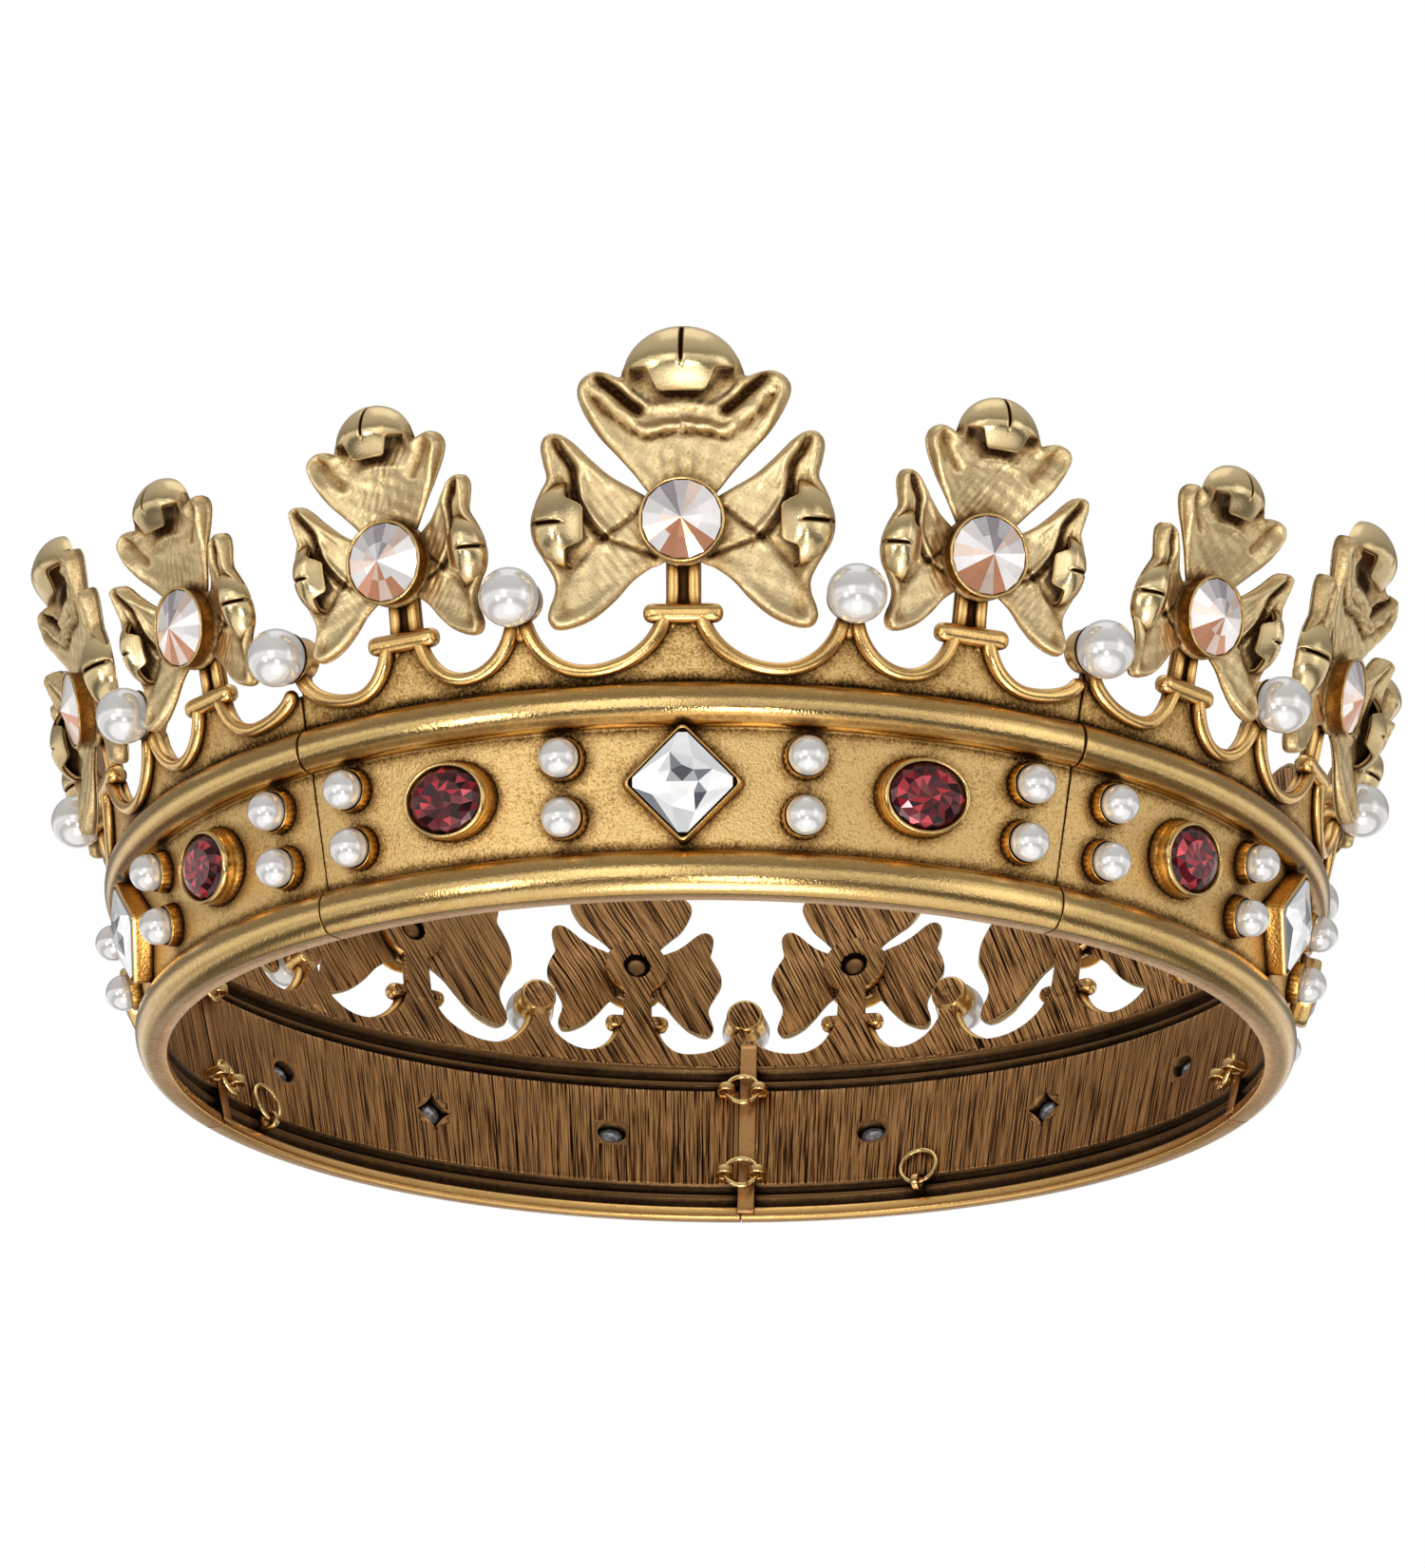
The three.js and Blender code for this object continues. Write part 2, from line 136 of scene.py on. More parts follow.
# ------------------------------------------------------------------ mesh builder
class Builder:
    def __init__(self):
        self.v, self.f, self.m, self.p, self.b, self.flat = [], [], [], [], [], []
        self.n = 0

    def add(self, verts, faces, mat=0, patina=0.0, brush=None, flat=False, out=True):
        verts = np.asarray(verts, float).reshape(-1, 3)
        k = len(verts)
        faces = [tuple(int(i) for i in f) for f in faces]
        if out is not None:  # turn the shell so that it faces outwards
            vol = 0.0
            for f in faces:
                for i in range(1, len(f) - 1):
                    vol += np.dot(verts[f[0]], np.cross(verts[f[i]], verts[f[i + 1]]))
            if vol < 0:
                faces = [f[::-1] for f in faces]
        self.v.append(verts)
        self.f += [tuple(i + self.n for i in f) for f in faces]
        self.m += [mat] * len(faces) if np.isscalar(mat) else list(mat)
        self.flat += [flat] * len(faces)
        self.p.append(np.full(k, patina) if np.isscalar(patina) else np.asarray(patina, float))
        self.b.append(np.zeros((k, 3)) if brush is None else np.asarray(brush, float).reshape(-1, 3))
        self.n += k

    def mesh(self, name, materials):
        me = bpy.data.meshes.new(name)
        V = np.vstack(self.v)
        me.from_pydata(V.tolist(), [], self.f)
        me.polygons.foreach_set("material_index", np.array(self.m, np.int32))
        me.polygons.foreach_set("use_smooth", ~np.array(self.flat, bool))
        at = me.attributes.new("patina", "FLOAT", "POINT")
        at.data.foreach_set("value", np.concatenate(self.p).astype(np.float32))
        at = me.attributes.new("brush", "FLOAT_VECTOR", "POINT")
        at.data.foreach_set("vector", np.vstack(self.b).astype(np.float32).ravel())
        for m in materials:
            me.materials.append(m)
        bm = bmesh.new()
        bm.from_mesh(me)
        bmesh.ops.remove_doubles(bm, verts=bm.verts, dist=2e-7)
        bmesh.ops.dissolve_degenerate(bm, edges=bm.edges, dist=1e-7)
        bm.to_mesh(me)
        bm.free()
        me.update()
        return me


def grid_faces(nu, nv, cu=False, cv=False, base=0):
    out = []
    for i in range(nu if cu else nu - 1):
        for j in range(nv if cv else nv - 1):
            a, b = i * nv + j, i * nv + (j + 1) % nv
            c, d = ((i + 1) % nu) * nv + (j + 1) % nv, ((i + 1) % nu) * nv + j
            out.append((a + base, b + base, c + base, d + base))
    return out


def lathe(profile, sides, sx=1.0, sy=1.0, radial=None):
    """A closed body turned about local z. The profile starts and ends on the axis. Returns mm points, faces."""
    prof = np.asarray(profile, float)
    th = np.linspace(0, 2 * math.pi, sides, endpoint=False)
    P = np.zeros((sides, len(prof), 3))
    for j, (r, z) in enumerate(prof):
        rr = r * (1 + (radial(th, j) if radial is not None else 0))
        P[:, j, 0] = rr * np.cos(th) * sx
        P[:, j, 1] = rr * np.sin(th) * sy
        P[:, j, 2] = z
    return P.reshape(-1, 3), grid_faces(sides, len(prof), cu=True)


def tube(points, radius, sides=12, closed=False, flat=1.0):
    """A round rod along mm or metre points, with rounded ends."""
    P = np.asarray(points, float)
    n = len(P)
    R = np.full(n, radius) if np.isscalar(radius) else np.asarray(radius, float)
    T = np.gradient(P, axis=0) if not closed else (np.roll(P, -1, 0) - np.roll(P, 1, 0))
    T /= np.linalg.norm(T, axis=1)[:, None]
    ref = np.array([0.0, 0.0, 1.0])
    if abs(T[0] @ ref) > 0.9:
        ref = np.array([1.0, 0.0, 0.0])
    N = np.zeros_like(P)
    a = ref - (ref @ T[0]) * T[0]
    N[0] = a / np.linalg.norm(a)
    for i in range(1, n):
        a = N[i - 1] - (N[i - 1] @ T[i]) * T[i]
        N[i] = a / np.linalg.norm(a)
    if closed:
        N = np.tile(N[0], (n, 1)) if abs(T[0] @ N[0]) > 1 else N
    B = np.cross(T, N)
    th = np.linspace(0, 2 * math.pi, sides, endpoint=False)
    rows, idx = [], []
    if not closed:
        for ang in (80, 55, 28):
            rows.append((0, -math.sin(math.radians(ang)), math.cos(math.radians(ang))))
    for i in range(n):
        rows.append((i, 0.0, 1.0))
    if not closed:
        for ang in (28, 55, 80):
            rows.append((n - 1, math.sin(math.radians(ang)), math.cos(math.radians(ang))))
    V = []
    for i, along, k in rows:
        c = P[i] + T[i] * R[i] * along
        V.append(c + (np.cos(th)[:, None] * N[i] + np.sin(th)[:, None] * B[i] * flat) * R[i] * k)
    m = len(rows)
    V = np.array(V).reshape(-1, 3)
    F = grid_faces(m, sides, cu=closed, cv=True)
    if not closed:
        V = np.vstack([V, P[0] - T[0] * R[0], P[-1] + T[-1] * R[-1]])
        k0, k1 = m * sides, m * sides + 1
        for j in range(sides):
            F.append((k0, (j + 1) % sides, j))
            F.append((k1, (m - 1) * sides + j, (m - 1) * sides + (j + 1) % sides))
    return V, F


def shell_between(front, back, cv=True):
    """front and back: (rings, points, 3) grids whose outer ring is the last; both start at a centre ring."""
    nr, npt, _ = front.shape
    V = np.vstack([front.reshape(-1, 3), back.reshape(-1, 3)])
    F = grid_faces(nr, npt, cv=cv)
    off = nr * npt
    F += [f[::-1] for f in grid_faces(back.shape[0], npt, cv=cv, base=off)]
    for j in range(npt):
        a, b = (nr - 1) * npt + j, (nr - 1) * npt + (j + 1) % npt
        c, d = off + (back.shape[0] - 1) * npt + j, off + (back.shape[0] - 1) * npt + (j + 1) % npt
        F.append((a, c, d, b))
    return V, F


# ------------------------------------------------------------------ materials
def node(nt, kind, **props):
    n = nt.nodes.new(kind)
    for k, v in props.items():
        if k.startswith("_"):
            continue
        setattr(n, k, v)
    return n


def ramp(nt, fac, stops, interp="LINEAR"):
    r = nt.nodes.new("ShaderNodeValToRGB")
    r.color_ramp.interpolation = interp
    els = r.color_ramp.elements
    while len(els) < len(stops):
        els.new(0.5)
    for e, (p, c) in zip(els, stops):
        e.position = p
        e.color = (*c, 1.0) if len(c) == 3 else c
    nt.links.new(fac, r.inputs[0])
    return r


def math_node(nt, op, a, b=None, clamp=False):
    n = nt.nodes.new("ShaderNodeMath")
    n.operation = op
    n.use_clamp = clamp
    for i, x in enumerate([a, b]):
        if x is None:
            continue
        if isinstance(x, (int, float)):
            n.inputs[i].default_value = x
        else:
            nt.links.new(x, n.inputs[i])
    return n.outputs[0]


def mix_rgb(nt, fac, a, b, mode="MIX"):
    n = nt.nodes.new("ShaderNodeMix")
    n.data_type = "RGBA"
    n.blend_type = mode
    for sock, x in ((n.inputs[0], fac), (n.inputs[6], a), (n.inputs[7], b)):
        if isinstance(x, (int, float)):
            sock.default_value = x
        elif isinstance(x, tuple):
            sock.default_value = (*x, 1.0)
        else:
            nt.links.new(x, sock)
    return n.outputs[2]


def srgb(r, g, b):
    f = lambda c: (c / 255 / 12.92) if c / 255 <= 0.04045 else ((c / 255 + 0.055) / 1.055) ** 2.4
    return (f(r), f(g), f(b))


def noise(nt, vec, scale, detail=3.0, rough=0.55, dims="3D"):
    n = nt.nodes.new("ShaderNodeTexNoise")
    n.noise_dimensions = dims
    n.inputs["Scale"].default_value = scale
    n.inputs["Detail"].default_value = detail
    n.inputs["Roughness"].default_value = rough
    if vec is not None:
        nt.links.new(vec, n.inputs["Vector" if dims != "1D" else "W"])
    return n.outputs["Fac"]


def metal(name, bright, mid, dark, rough=0.2, grain=0.0, grain_scale=3000, crease=1.0, ao_mm=1.6, mottled=0.5,
          brushed=0.0, brush_freq=2.2, wave=0.0, rough_var=0.12):
    """Antiqued cast metal: bright on the high parts, brown where the antiquing stays, with grain or brush lines."""
    mat = bpy.data.materials.new(name)
    mat.use_nodes = True
    nt = mat.node_tree
    bsdf = nt.nodes["Principled BSDF"]
    bsdf.inputs["Metallic"].default_value = 1.0
    tc = nt.nodes.new("ShaderNodeTexCoord")
    obj = tc.outputs["Object"]
    pat = nt.nodes.new("ShaderNodeAttribute")
    pat.attribute_name = "patina"
    ao = nt.nodes.new("ShaderNodeAmbientOcclusion")
    ao.samples = 6
    ao.inputs["Distance"].default_value = ao_mm * 0.001
    big = noise(nt, obj, 90, 4, 0.6)
    fine = noise(nt, obj, 900, 3, 0.65)
    speck = noise(nt, obj, grain_scale, 2, 0.6)
    # how much antiquing stays here
    hollow = math_node(nt, "SUBTRACT", 1.0, ao.outputs["AO"], True)
    hollow = math_node(nt, "MULTIPLY", hollow, 1.5 * crease, True)
    wander = math_node(nt, "MULTIPLY", math_node(nt, "SUBTRACT", big, 0.5), mottled)
    wander = math_node(nt, "ADD", wander, math_node(nt, "MULTIPLY", math_node(nt, "SUBTRACT", fine, 0.5), mottled * 0.9))
    dirt = math_node(nt, "ADD", hollow, pat.outputs["Fac"])
    dirt = math_node(nt, "ADD", dirt, wander, True)
    if grain > 0:
        g = math_node(nt, "MULTIPLY", math_node(nt, "SUBTRACT", speck, 0.5), grain * 1.9)
        dirt = math_node(nt, "ADD", dirt, g, True)
    height = None
    if brushed > 0:
        br = nt.nodes.new("ShaderNodeAttribute")
        br.attribute_name = "brush"
        sc = nt.nodes.new("ShaderNodeVectorMath")
        sc.operation = "MULTIPLY"
        sc.inputs[1].default_value = (brush_freq, brush_freq * 0.016, 1.0)
        nt.links.new(br.outputs["Vector"], sc.inputs[0])
        lines = noise(nt, sc.outputs[0], 1.0, 2, 0.8, "2D")
        l2 = math_node(nt, "MULTIPLY", math_node(nt, "SUBTRACT", lines, 0.5), brushed * 8.5)
        dirt = math_node(nt, "ADD", dirt, l2, True)
        height = lines
    col = ramp(nt, dirt, [(0.0, bright), (0.38, mid), (1.0, dark)])
    nt.links.new(col.outputs[0], bsdf.inputs["Base Color"])
    rr = nt.nodes.new("ShaderNodeMapRange")
    rr.inputs["To Min"].default_value = rough
    rr.inputs["To Max"].default_value = min(0.85, rough + 0.3 + rough_var)
    nt.links.new(dirt, rr.inputs["Value"])
    r2 = math_node(nt, "ADD", rr.outputs[0], math_node(nt, "MULTIPLY", math_node(nt, "SUBTRACT", fine, 0.5), rough_var), True)
    nt.links.new(r2, bsdf.inputs["Roughness"])
    prev = None
    if height is not None:
        b = nt.nodes.new("ShaderNodeBump")
        b.inputs["Strength"].default_value = min(1.0, brushed)
        b.inputs["Distance"].default_value = 0.00055
        nt.links.new(height, b.inputs["Height"])
        prev = b.outputs[0]
    if grain > 0:
        b = nt.nodes.new("ShaderNodeBump")
        b.inputs["Strength"].default_value = min(1.0, 0.35 + grain * 0.5)
        b.inputs["Distance"].default_value = 0.00016 * (0.4 + grain)
        nt.links.new(speck, b.inputs["Height"])
        if prev is not None:
            nt.links.new(prev, b.inputs["Normal"])
        prev = b.outputs[0]
    if wave > 0:
        b = nt.nodes.new("ShaderNodeBump")
        b.inputs["Strength"].default_value = wave
        b.inputs["Distance"].default_value = 0.0008
        nt.links.new(noise(nt, obj, 160, 2, 0.5), b.inputs["Height"])
        if prev is not None:
            nt.links.new(prev, b.inputs["Normal"])
        prev = b.outputs[0]
    if prev is not None:
        nt.links.new(prev, bsdf.inputs["Normal"])
    return mat


PALE = srgb(247, 224, 158)
M_RAIL = metal("rail_gold", srgb(228, 193, 128), srgb(190, 146, 82), srgb(64, 37, 17), rough=0.13, grain=0.16,
               grain_scale=2600, crease=0.9, ao_mm=1.4, mottled=0.34, wave=0.05, rough_var=0.1)
M_RECESS = metal("recess_gold", srgb(238, 202, 136), srgb(190, 148, 86), srgb(56, 34, 15), rough=0.38, grain=0.72,
                 grain_scale=2700, crease=1.15, ao_mm=2.2, mottled=0.7, rough_var=0.1)
M_ROD = metal("rod_gold", srgb(248, 204, 132), srgb(198, 144, 74), srgb(48, 28, 13), rough=0.18, grain=0.08,
              grain_scale=2600, crease=1.25, ao_mm=1.8, mottled=0.35, wave=0.04)
M_PETAL = metal("petal_gold", srgb(243, 219, 167), srgb(201, 165, 110), srgb(72, 42, 20), rough=0.36, grain=0.34,
                grain_scale=2300, crease=1.15, ao_mm=1.8, mottled=0.42, wave=0.03, rough_var=0.14)
M_DOME = metal("dome_gold", srgb(237, 213, 162), srgb(200, 162, 106), srgb(58, 34, 16), rough=0.22, grain=0.05,
               grain_scale=2600, crease=0.9, ao_mm=1.2, mottled=0.18, wave=0.03)
M_INNER = metal("inner_bronze", srgb(222, 168, 108), srgb(132, 92, 56), srgb(26, 17, 11), rough=0.32, grain=0.1,
                crease=0.8, ao_mm=2.5, mottled=0.4, brushed=0.85, brush_freq=2.7)
M_CHANNEL = metal("channel_bronze", srgb(150, 112, 70), srgb(88, 64, 40), srgb(24, 18, 14), rough=0.3, grain=0.15,
                  crease=1.3, ao_mm=3.0, mottled=0.5)
M_FOOT = metal("foot_gold", srgb(244, 196, 122), srgb(208, 146, 82), srgb(92, 58, 34), rough=0.22, grain=0.12,
               crease=0.8, mottled=0.5)
M_CUP = metal("cup_gold", srgb(222, 172, 92), srgb(160, 108, 48), srgb(38, 22, 10), rough=0.24, grain=0.35,
              grain_scale=2200, crease=1.2, ao_mm=1.6, mottled=0.6)
M_RING = metal("ring_gold", srgb(250, 218, 150), srgb(214, 160, 92), srgb(90, 56, 28), rough=0.12, grain=0.04,
               crease=0.7, ao_mm=1.0, mottled=0.25)
METALS = [M_RAIL, M_RECESS, M_ROD, M_PETAL, M_DOME, M_INNER, M_CHANNEL, M_FOOT, M_CUP, M_RING]
RAIL, RECESS, ROD, PETAL, DOME, INNER, CHANNEL, FOOT, CUP, RING = range(10)


def stone_material(name, rough, metallic, coat=1.0, scratch=0.02, painted_glow=0.0):
    """Cut glass over foil: each facet keeps its own colour, which carries painted reflection, under a clear polished
    coat, and shines with a painted glow of that colour.
    """
    mat = bpy.data.materials.new(name)
    mat.use_nodes = True
    nt = mat.node_tree
    bsdf = nt.nodes["Principled BSDF"]
    at = nt.nodes.new("ShaderNodeAttribute")
    at.attribute_name = "tint"
    tc = nt.nodes.new("ShaderNodeTexCoord")
    n1 = noise(nt, tc.outputs["Object"], 260, 3, 0.6)
    vary = ramp(nt, n1, [(0.3, (0.78, 0.78, 0.78)), (0.7, (1.0, 1.0, 1.0))])
    nt.links.new(mix_rgb(nt, 1.0, at.outputs["Color"], vary.outputs[0], "MULTIPLY"), bsdf.inputs["Base Color"])
    bsdf.inputs["Metallic"].default_value = metallic
    r = math_node(nt, "ADD", math_node(nt, "MULTIPLY", n1, scratch * 2), rough, True)
    nt.links.new(r, bsdf.inputs["Roughness"])
    bsdf.inputs["Coat Weight"].default_value = coat
    bsdf.inputs["Coat Roughness"].default_value = 0.02
    bsdf.inputs["Coat IOR"].default_value = 1.6
    # painted glow: the facet colour is also sent out as emission, so the stone shines like a lamp
    nt.links.new(at.outputs["Color"], bsdf.inputs["Emission Color"])
    bsdf.inputs["Emission Strength"].default_value = painted_glow
    return mat


M_RIVOLI = stone_material("champagne_crystal", 0.10, 0.55, painted_glow=0.30)
M_SQUARE = stone_material("clear_crystal", 0.08, 0.5, painted_glow=0.32)
M_GARNET = stone_material("garnet_stone", 0.09, 0.5, coat=0.45, painted_glow=0.16)
M_FOIL = stone_material("stone_foil", 0.22, 0.8, coat=0.4, painted_glow=0.08)


def pearl_material():
    mat = bpy.data.materials.new("pearl")
    mat.use_nodes = True
    nt = mat.node_tree
    bsdf = nt.nodes["Principled BSDF"]
    tc = nt.nodes.new("ShaderNodeTexCoord")
    n1 = noise(nt, tc.outputs["Object"], 320, 3, 0.5)
    # painted sheen: the base colour is whitened towards the pearl's rim, standing for the lighter ring of light at its
    # edges
    lw = nt.nodes.new("ShaderNodeLayerWeight")
    lw.inputs["Blend"].default_value = 0.4
    base = ramp(nt, n1, [(0.3, srgb(231, 228, 224)), (0.7, srgb(241, 239, 236))])
    painted_rim_sheen = mix_rgb(nt, lw.outputs["Facing"], base.outputs[0], srgb(248, 248, 248))
    nt.links.new(painted_rim_sheen, bsdf.inputs["Base Color"])
    nt.links.new(math_node(nt, "ADD", math_node(nt, "MULTIPLY", n1, 0.06), 0.16), bsdf.inputs["Roughness"])
    bsdf.inputs["Metallic"].default_value = 0.35
    bsdf.inputs["Specular IOR Level"].default_value = 0.8
    bsdf.inputs["Coat Weight"].default_value = 1.0
    bsdf.inputs["Coat Roughness"].default_value = 0.05
    bsdf.inputs["Coat IOR"].default_value = 1.65
    b = nt.nodes.new("ShaderNodeBump")
    b.inputs["Strength"].default_value = 0.1
    b.inputs["Distance"].default_value = 0.0002
    nt.links.new(n1, b.inputs["Height"])
    nt.links.new(b.outputs[0], bsdf.inputs["Normal"])
    return mat


M_PEARL = pearl_material()

# ------------------------------------------------------------------ the cast band segment, centred on angle 0
LOWER_RAIL = (0.0, 7.0, 2.7)
UPPER_RAIL = (25.3, 32.1, 2.9)


def rail_points(rail, n):
    mid, half, proud = (rail[0] + rail[1]) / 2, (rail[1] - rail[0]) / 2, rail[2]
    t = np.linspace(-math.pi / 2, math.pi / 2, n)
    # a slightly flattened half round
    return [(mid + half * math.sin(x), proud * math.cos(x) ** 0.86 if math.cos(x) > 1e-9 else 0.0) for x in t]


def band_profile():
    """Closed loop of (u, n, material, patina)."""
    out = []
    for k, (u, n) in enumerate(rail_points(LOWER_RAIL, 21)):
        t = u / 7.0
        out.append((u, n, RAIL, float(0.3 * sstep(t, 0.62, 0.85) + 0.3 * (1 - sstep(t, 0.02, 0.2)) + 0.16 * math.exp(-((t - 0.34) / 0.07) ** 2))))
    out[-1] = (7.0, 0.0, RECESS, 0.5)
    out.append((7.5, -0.12, RECESS, 0.35))
    for u in np.linspace(8.3, 24.2, 12):
        out.append((u, 0.0, RECESS, 0.0))
    out.append((24.9, -0.12, RECESS, 0.35))
    for k, (u, n) in enumerate(rail_points(UPPER_RAIL, 21)):
        t = (u - 25.3) / 6.8
        out.append((u, n, RAIL, float(0.28 * sstep(t, 0.55, 0.8) + 0.8 * math.exp(-((t - 0.18) / 0.085) ** 2))))
    out[-1] = (32.1, -0.2, RECESS, 0.5)
    # over the top and down the inside
    out += [(32.1, -1.2, INNER, 0.0), (32.0, -1.75, INNER, 0.0), (31.6, -1.9, CHANNEL, 0.0), (31.0, -1.85, CHANNEL, 0.1)]
    # upper channel, with a thin raised bead in it
    for x, d in ((30.5, -0.9), (30.0, -0.35), (29.3, -0.55), (28.9, -1.15), (28.4, -1.4), (27.9, -1.15), (27.5, -0.5), (27.0, -0.6), (26.7, -1.3)):
        out.append((x, d, CHANNEL, 0.25 if d > -1.0 else 0.0))
    out += [(26.5, -1.8, INNER, 0.0)]
    for u in np.linspace(25.9, 7.6, 12):
        out.append((u, -1.9, INNER, 0.0))
    out += [(7.0, -1.9, INNER, 0.0), (6.6, -1.8, CHANNEL, 0.0)]
    for x, d in ((6.3, -1.0), (5.9, -0.45), (5.2, -0.6), (4.8, -1.2), (4.3, -1.45), (3.8, -1.2), (3.3, -0.55), (2.7, -0.5), (2.2, -1.1)):
        out.append((x, d, CHANNEL, 0.25 if d > -1.0 else 0.0))
    out += [(1.9, -1.7, FOOT, 0.0), (1.5, -1.9, FOOT, 0.0), (0.6, -1.92, FOOT, 0.0), (-0.1, -1.85, FOOT, 0.0), (-0.40, -1.6, FOOT, 0.0)]
    return out


def end_angle(u, n, side):
    """Angle of the end face there: half the gap inside the seam plane."""
    r = BASE_RADIUS + u * S + n * C
    gap = np.maximum(SEAM_GAP, 0.1 + 0.0415 * (r - HINGE_RADIUS))
    return side * (SEG / 2 - np.degrees(np.arcsin(gap / 2 / r)))


def make_band():
    prof = band_profile()
    U = np.array([p[0] for p in prof])
    N = np.array([p[1] for p in prof])
    mats = [p[2] for p in prof]
    pat = np.array([p[3] for p in prof])
    steps = 121
    t = np.linspace(-1, 1, steps - 8)
    t = np.sort(np.r_[t, -0.9975, -0.994, -0.972, -0.958, 0.958, 0.972, 0.994, 0.9975])
    # closer steps by the ends, where the seam strips stand
    A1 = end_angle(U, N, 1)
    P = np.zeros((steps, len(prof), 3))
    patina = np.zeros((steps, len(prof)))
    brush = np.zeros((steps, len(prof), 3))
    inner = (N <= -1.84) & (U > 7.2) & (U < 26.2)
    for i, x in enumerate(t):
        a = x * A1
        nn = N.copy()
        arc = (36 - abs(a)) * math.pi / 180 * BASE_RADIUS
        # a smooth raised strip inside, by each seam
        nn = np.where(inner, nn - 0.15 * sstep(2.6 - arc, 0, 0.5), nn)
        # softened corners at the very end
        soft = 0.06 * sstep(0.3 - arc, 0, 0.2)
        nn = np.where(nn > 0.2, nn - soft, nn)
        z = np.maximum(0, U * C - nn * S)
        r = BASE_RADIUS + U * S + nn * C
        ar = np.radians(a)
        P[i] = np.stack([r * np.sin(ar), -r * np.cos(ar), z], 1) * 0.001
        patina[i] = pat + 0.3 * sstep(0.45 - arc, 0, 0.4)
        patina[i] = np.where(inner & (arc < 2.6) & (arc > 0.6), -0.35, patina[i])
        brush[i, :, 0] = np.where(inner & (arc < 2.5), 36.0 * x, ar * BASE_RADIUS)
        brush[i, :, 1] = np.where(inner & (arc < 2.5), 20.0, U)
    npf = len(prof)
    F, M = [], []
    for i in range(steps - 1):
        for j in range(npf):
            k = (j + 1) % npf
            F.append((i * npf + j, i * npf + k, (i + 1) * npf + k, (i + 1) * npf + j))
            M.append(mats[j])
    F.append(tuple(range(npf))[::-1])
    M.append(ROD)
    F.append(tuple(range((steps - 1) * npf, steps * npf)))
    M.append(ROD)
    b = Builder()
    b.add(P.reshape(-1, 3), F, M, patina.ravel(), brush.reshape(-1, 3))
    return b


def cutter(outline, z0, z1, a, u):
    o = np.asarray(outline, float)
    n = len(o)
    V = np.vstack([np.c_[o, np.full(n, z0)], np.c_[o, np.full(n, z1)]])
    F = [tuple(range(n))[::-1], tuple(range(n, 2 * n))]
    F += [(i, (i + 1) % n, n + (i + 1) % n, n + i) for i in range(n)]
    return sat(V, a, u), F


def ellipse(rx, ry, n=40, x0=0, y0=0):
    t = np.linspace(0, 2 * math.pi, n, endpoint=False)
    return np.stack([x0 + rx * np.cos(t), y0 + ry * np.sin(t)], 1)


def diamond_star(r, n=12):
    """Four-pointed window with sides that curve in."""
    out = []
    for q in range(4):
        for k in range(n):
            t = k / n
            a = math.radians(90 * q)
            b = a + math.pi / 2
            p0, p1 = np.array([math.cos(a), math.sin(a)]), np.array([math.cos(b), math.sin(b)])
            mid = (p0 + p1) * 0.36
            out.append(r * ((1 - t) ** 2 * p0 + 2 * t * (1 - t) * mid + t * t * p1))
    return np.array(out)


def cut(me, cutters, name):
    """Cuts windows through a closed mesh."""
    ob = bpy.data.objects.new(name, me)
    bpy.context.scene.collection.objects.link(ob)
    b = Builder()
    for V, F in cutters:
        b.add(V, F, CHANNEL, 0.5)
    cme = b.mesh(name + "_cutter", METALS)
    co = bpy.data.objects.new(name + "_cutter", cme)
    bpy.context.scene.collection.objects.link(co)
    mod = ob.modifiers.new("cut", "BOOLEAN")
    mod.operation = "DIFFERENCE"
    mod.solver = "EXACT"
    mod.object = co
    mod.material_mode = "INDEX"
    bpy.context.view_layer.update()
    dg = bpy.context.evaluated_depsgraph_get()
    new = bpy.data.meshes.new_from_object(ob.evaluated_get(dg), preserve_all_data_layers=True, depsgraph=dg)
    bpy.data.objects.remove(ob)
    bpy.data.objects.remove(co)
    new.name = name
    return new


SWAGS = [
    [(-35.4, 39.9), (-29.8, 34.7), (-26.2, 41.0)],
    [(-22.9, 41.0), (-19.0, 34.7), (-14.5, 41.6)],
    [(-13.3, 41.6), (-8.0, 34.0), (-1.6, 41.4)],
    [(1.6, 41.4), (8.0, 34.0), (13.3, 41.6)],
    [(14.5, 41.6), (19.0, 34.7), (22.9, 41.0)],
    [(26.2, 41.0), (30.4, 34.7), (35.1, 37.6)],
]


def swag_curve(sw, steps):
    """(angle, u) along a hanging rod: a drop that steepens towards its ends."""
    (a0, u0), (am, um), (a1, u1) = sw
    pts = []
    for t in np.linspace(0, 1, 41):
        a = a0 + (a1 - a0) * t
        k = (am - a) / (am - a0) if a < am else (a - am) / (a1 - am)
        end = u0 if a < am else u1
        drop = 1 - math.sqrt(max(0, 1 - 0.93 * k * k))
        pts.append((a, um + (end - um) * (drop / (1 - math.sqrt(0.07)))))
    P = np.array(pts)
    # even spacing by length
    mm = np.c_[np.radians(P[:, 0]) * 101, P[:, 1]]
    d = np.r_[0, np.cumsum(np.linalg.norm(np.diff(mm, axis=0), axis=1))]
    s = np.linspace(0, d[-1], steps)
    return np.stack([np.interp(s, d, P[:, 0]), np.interp(s, d, P[:, 1])], 1)


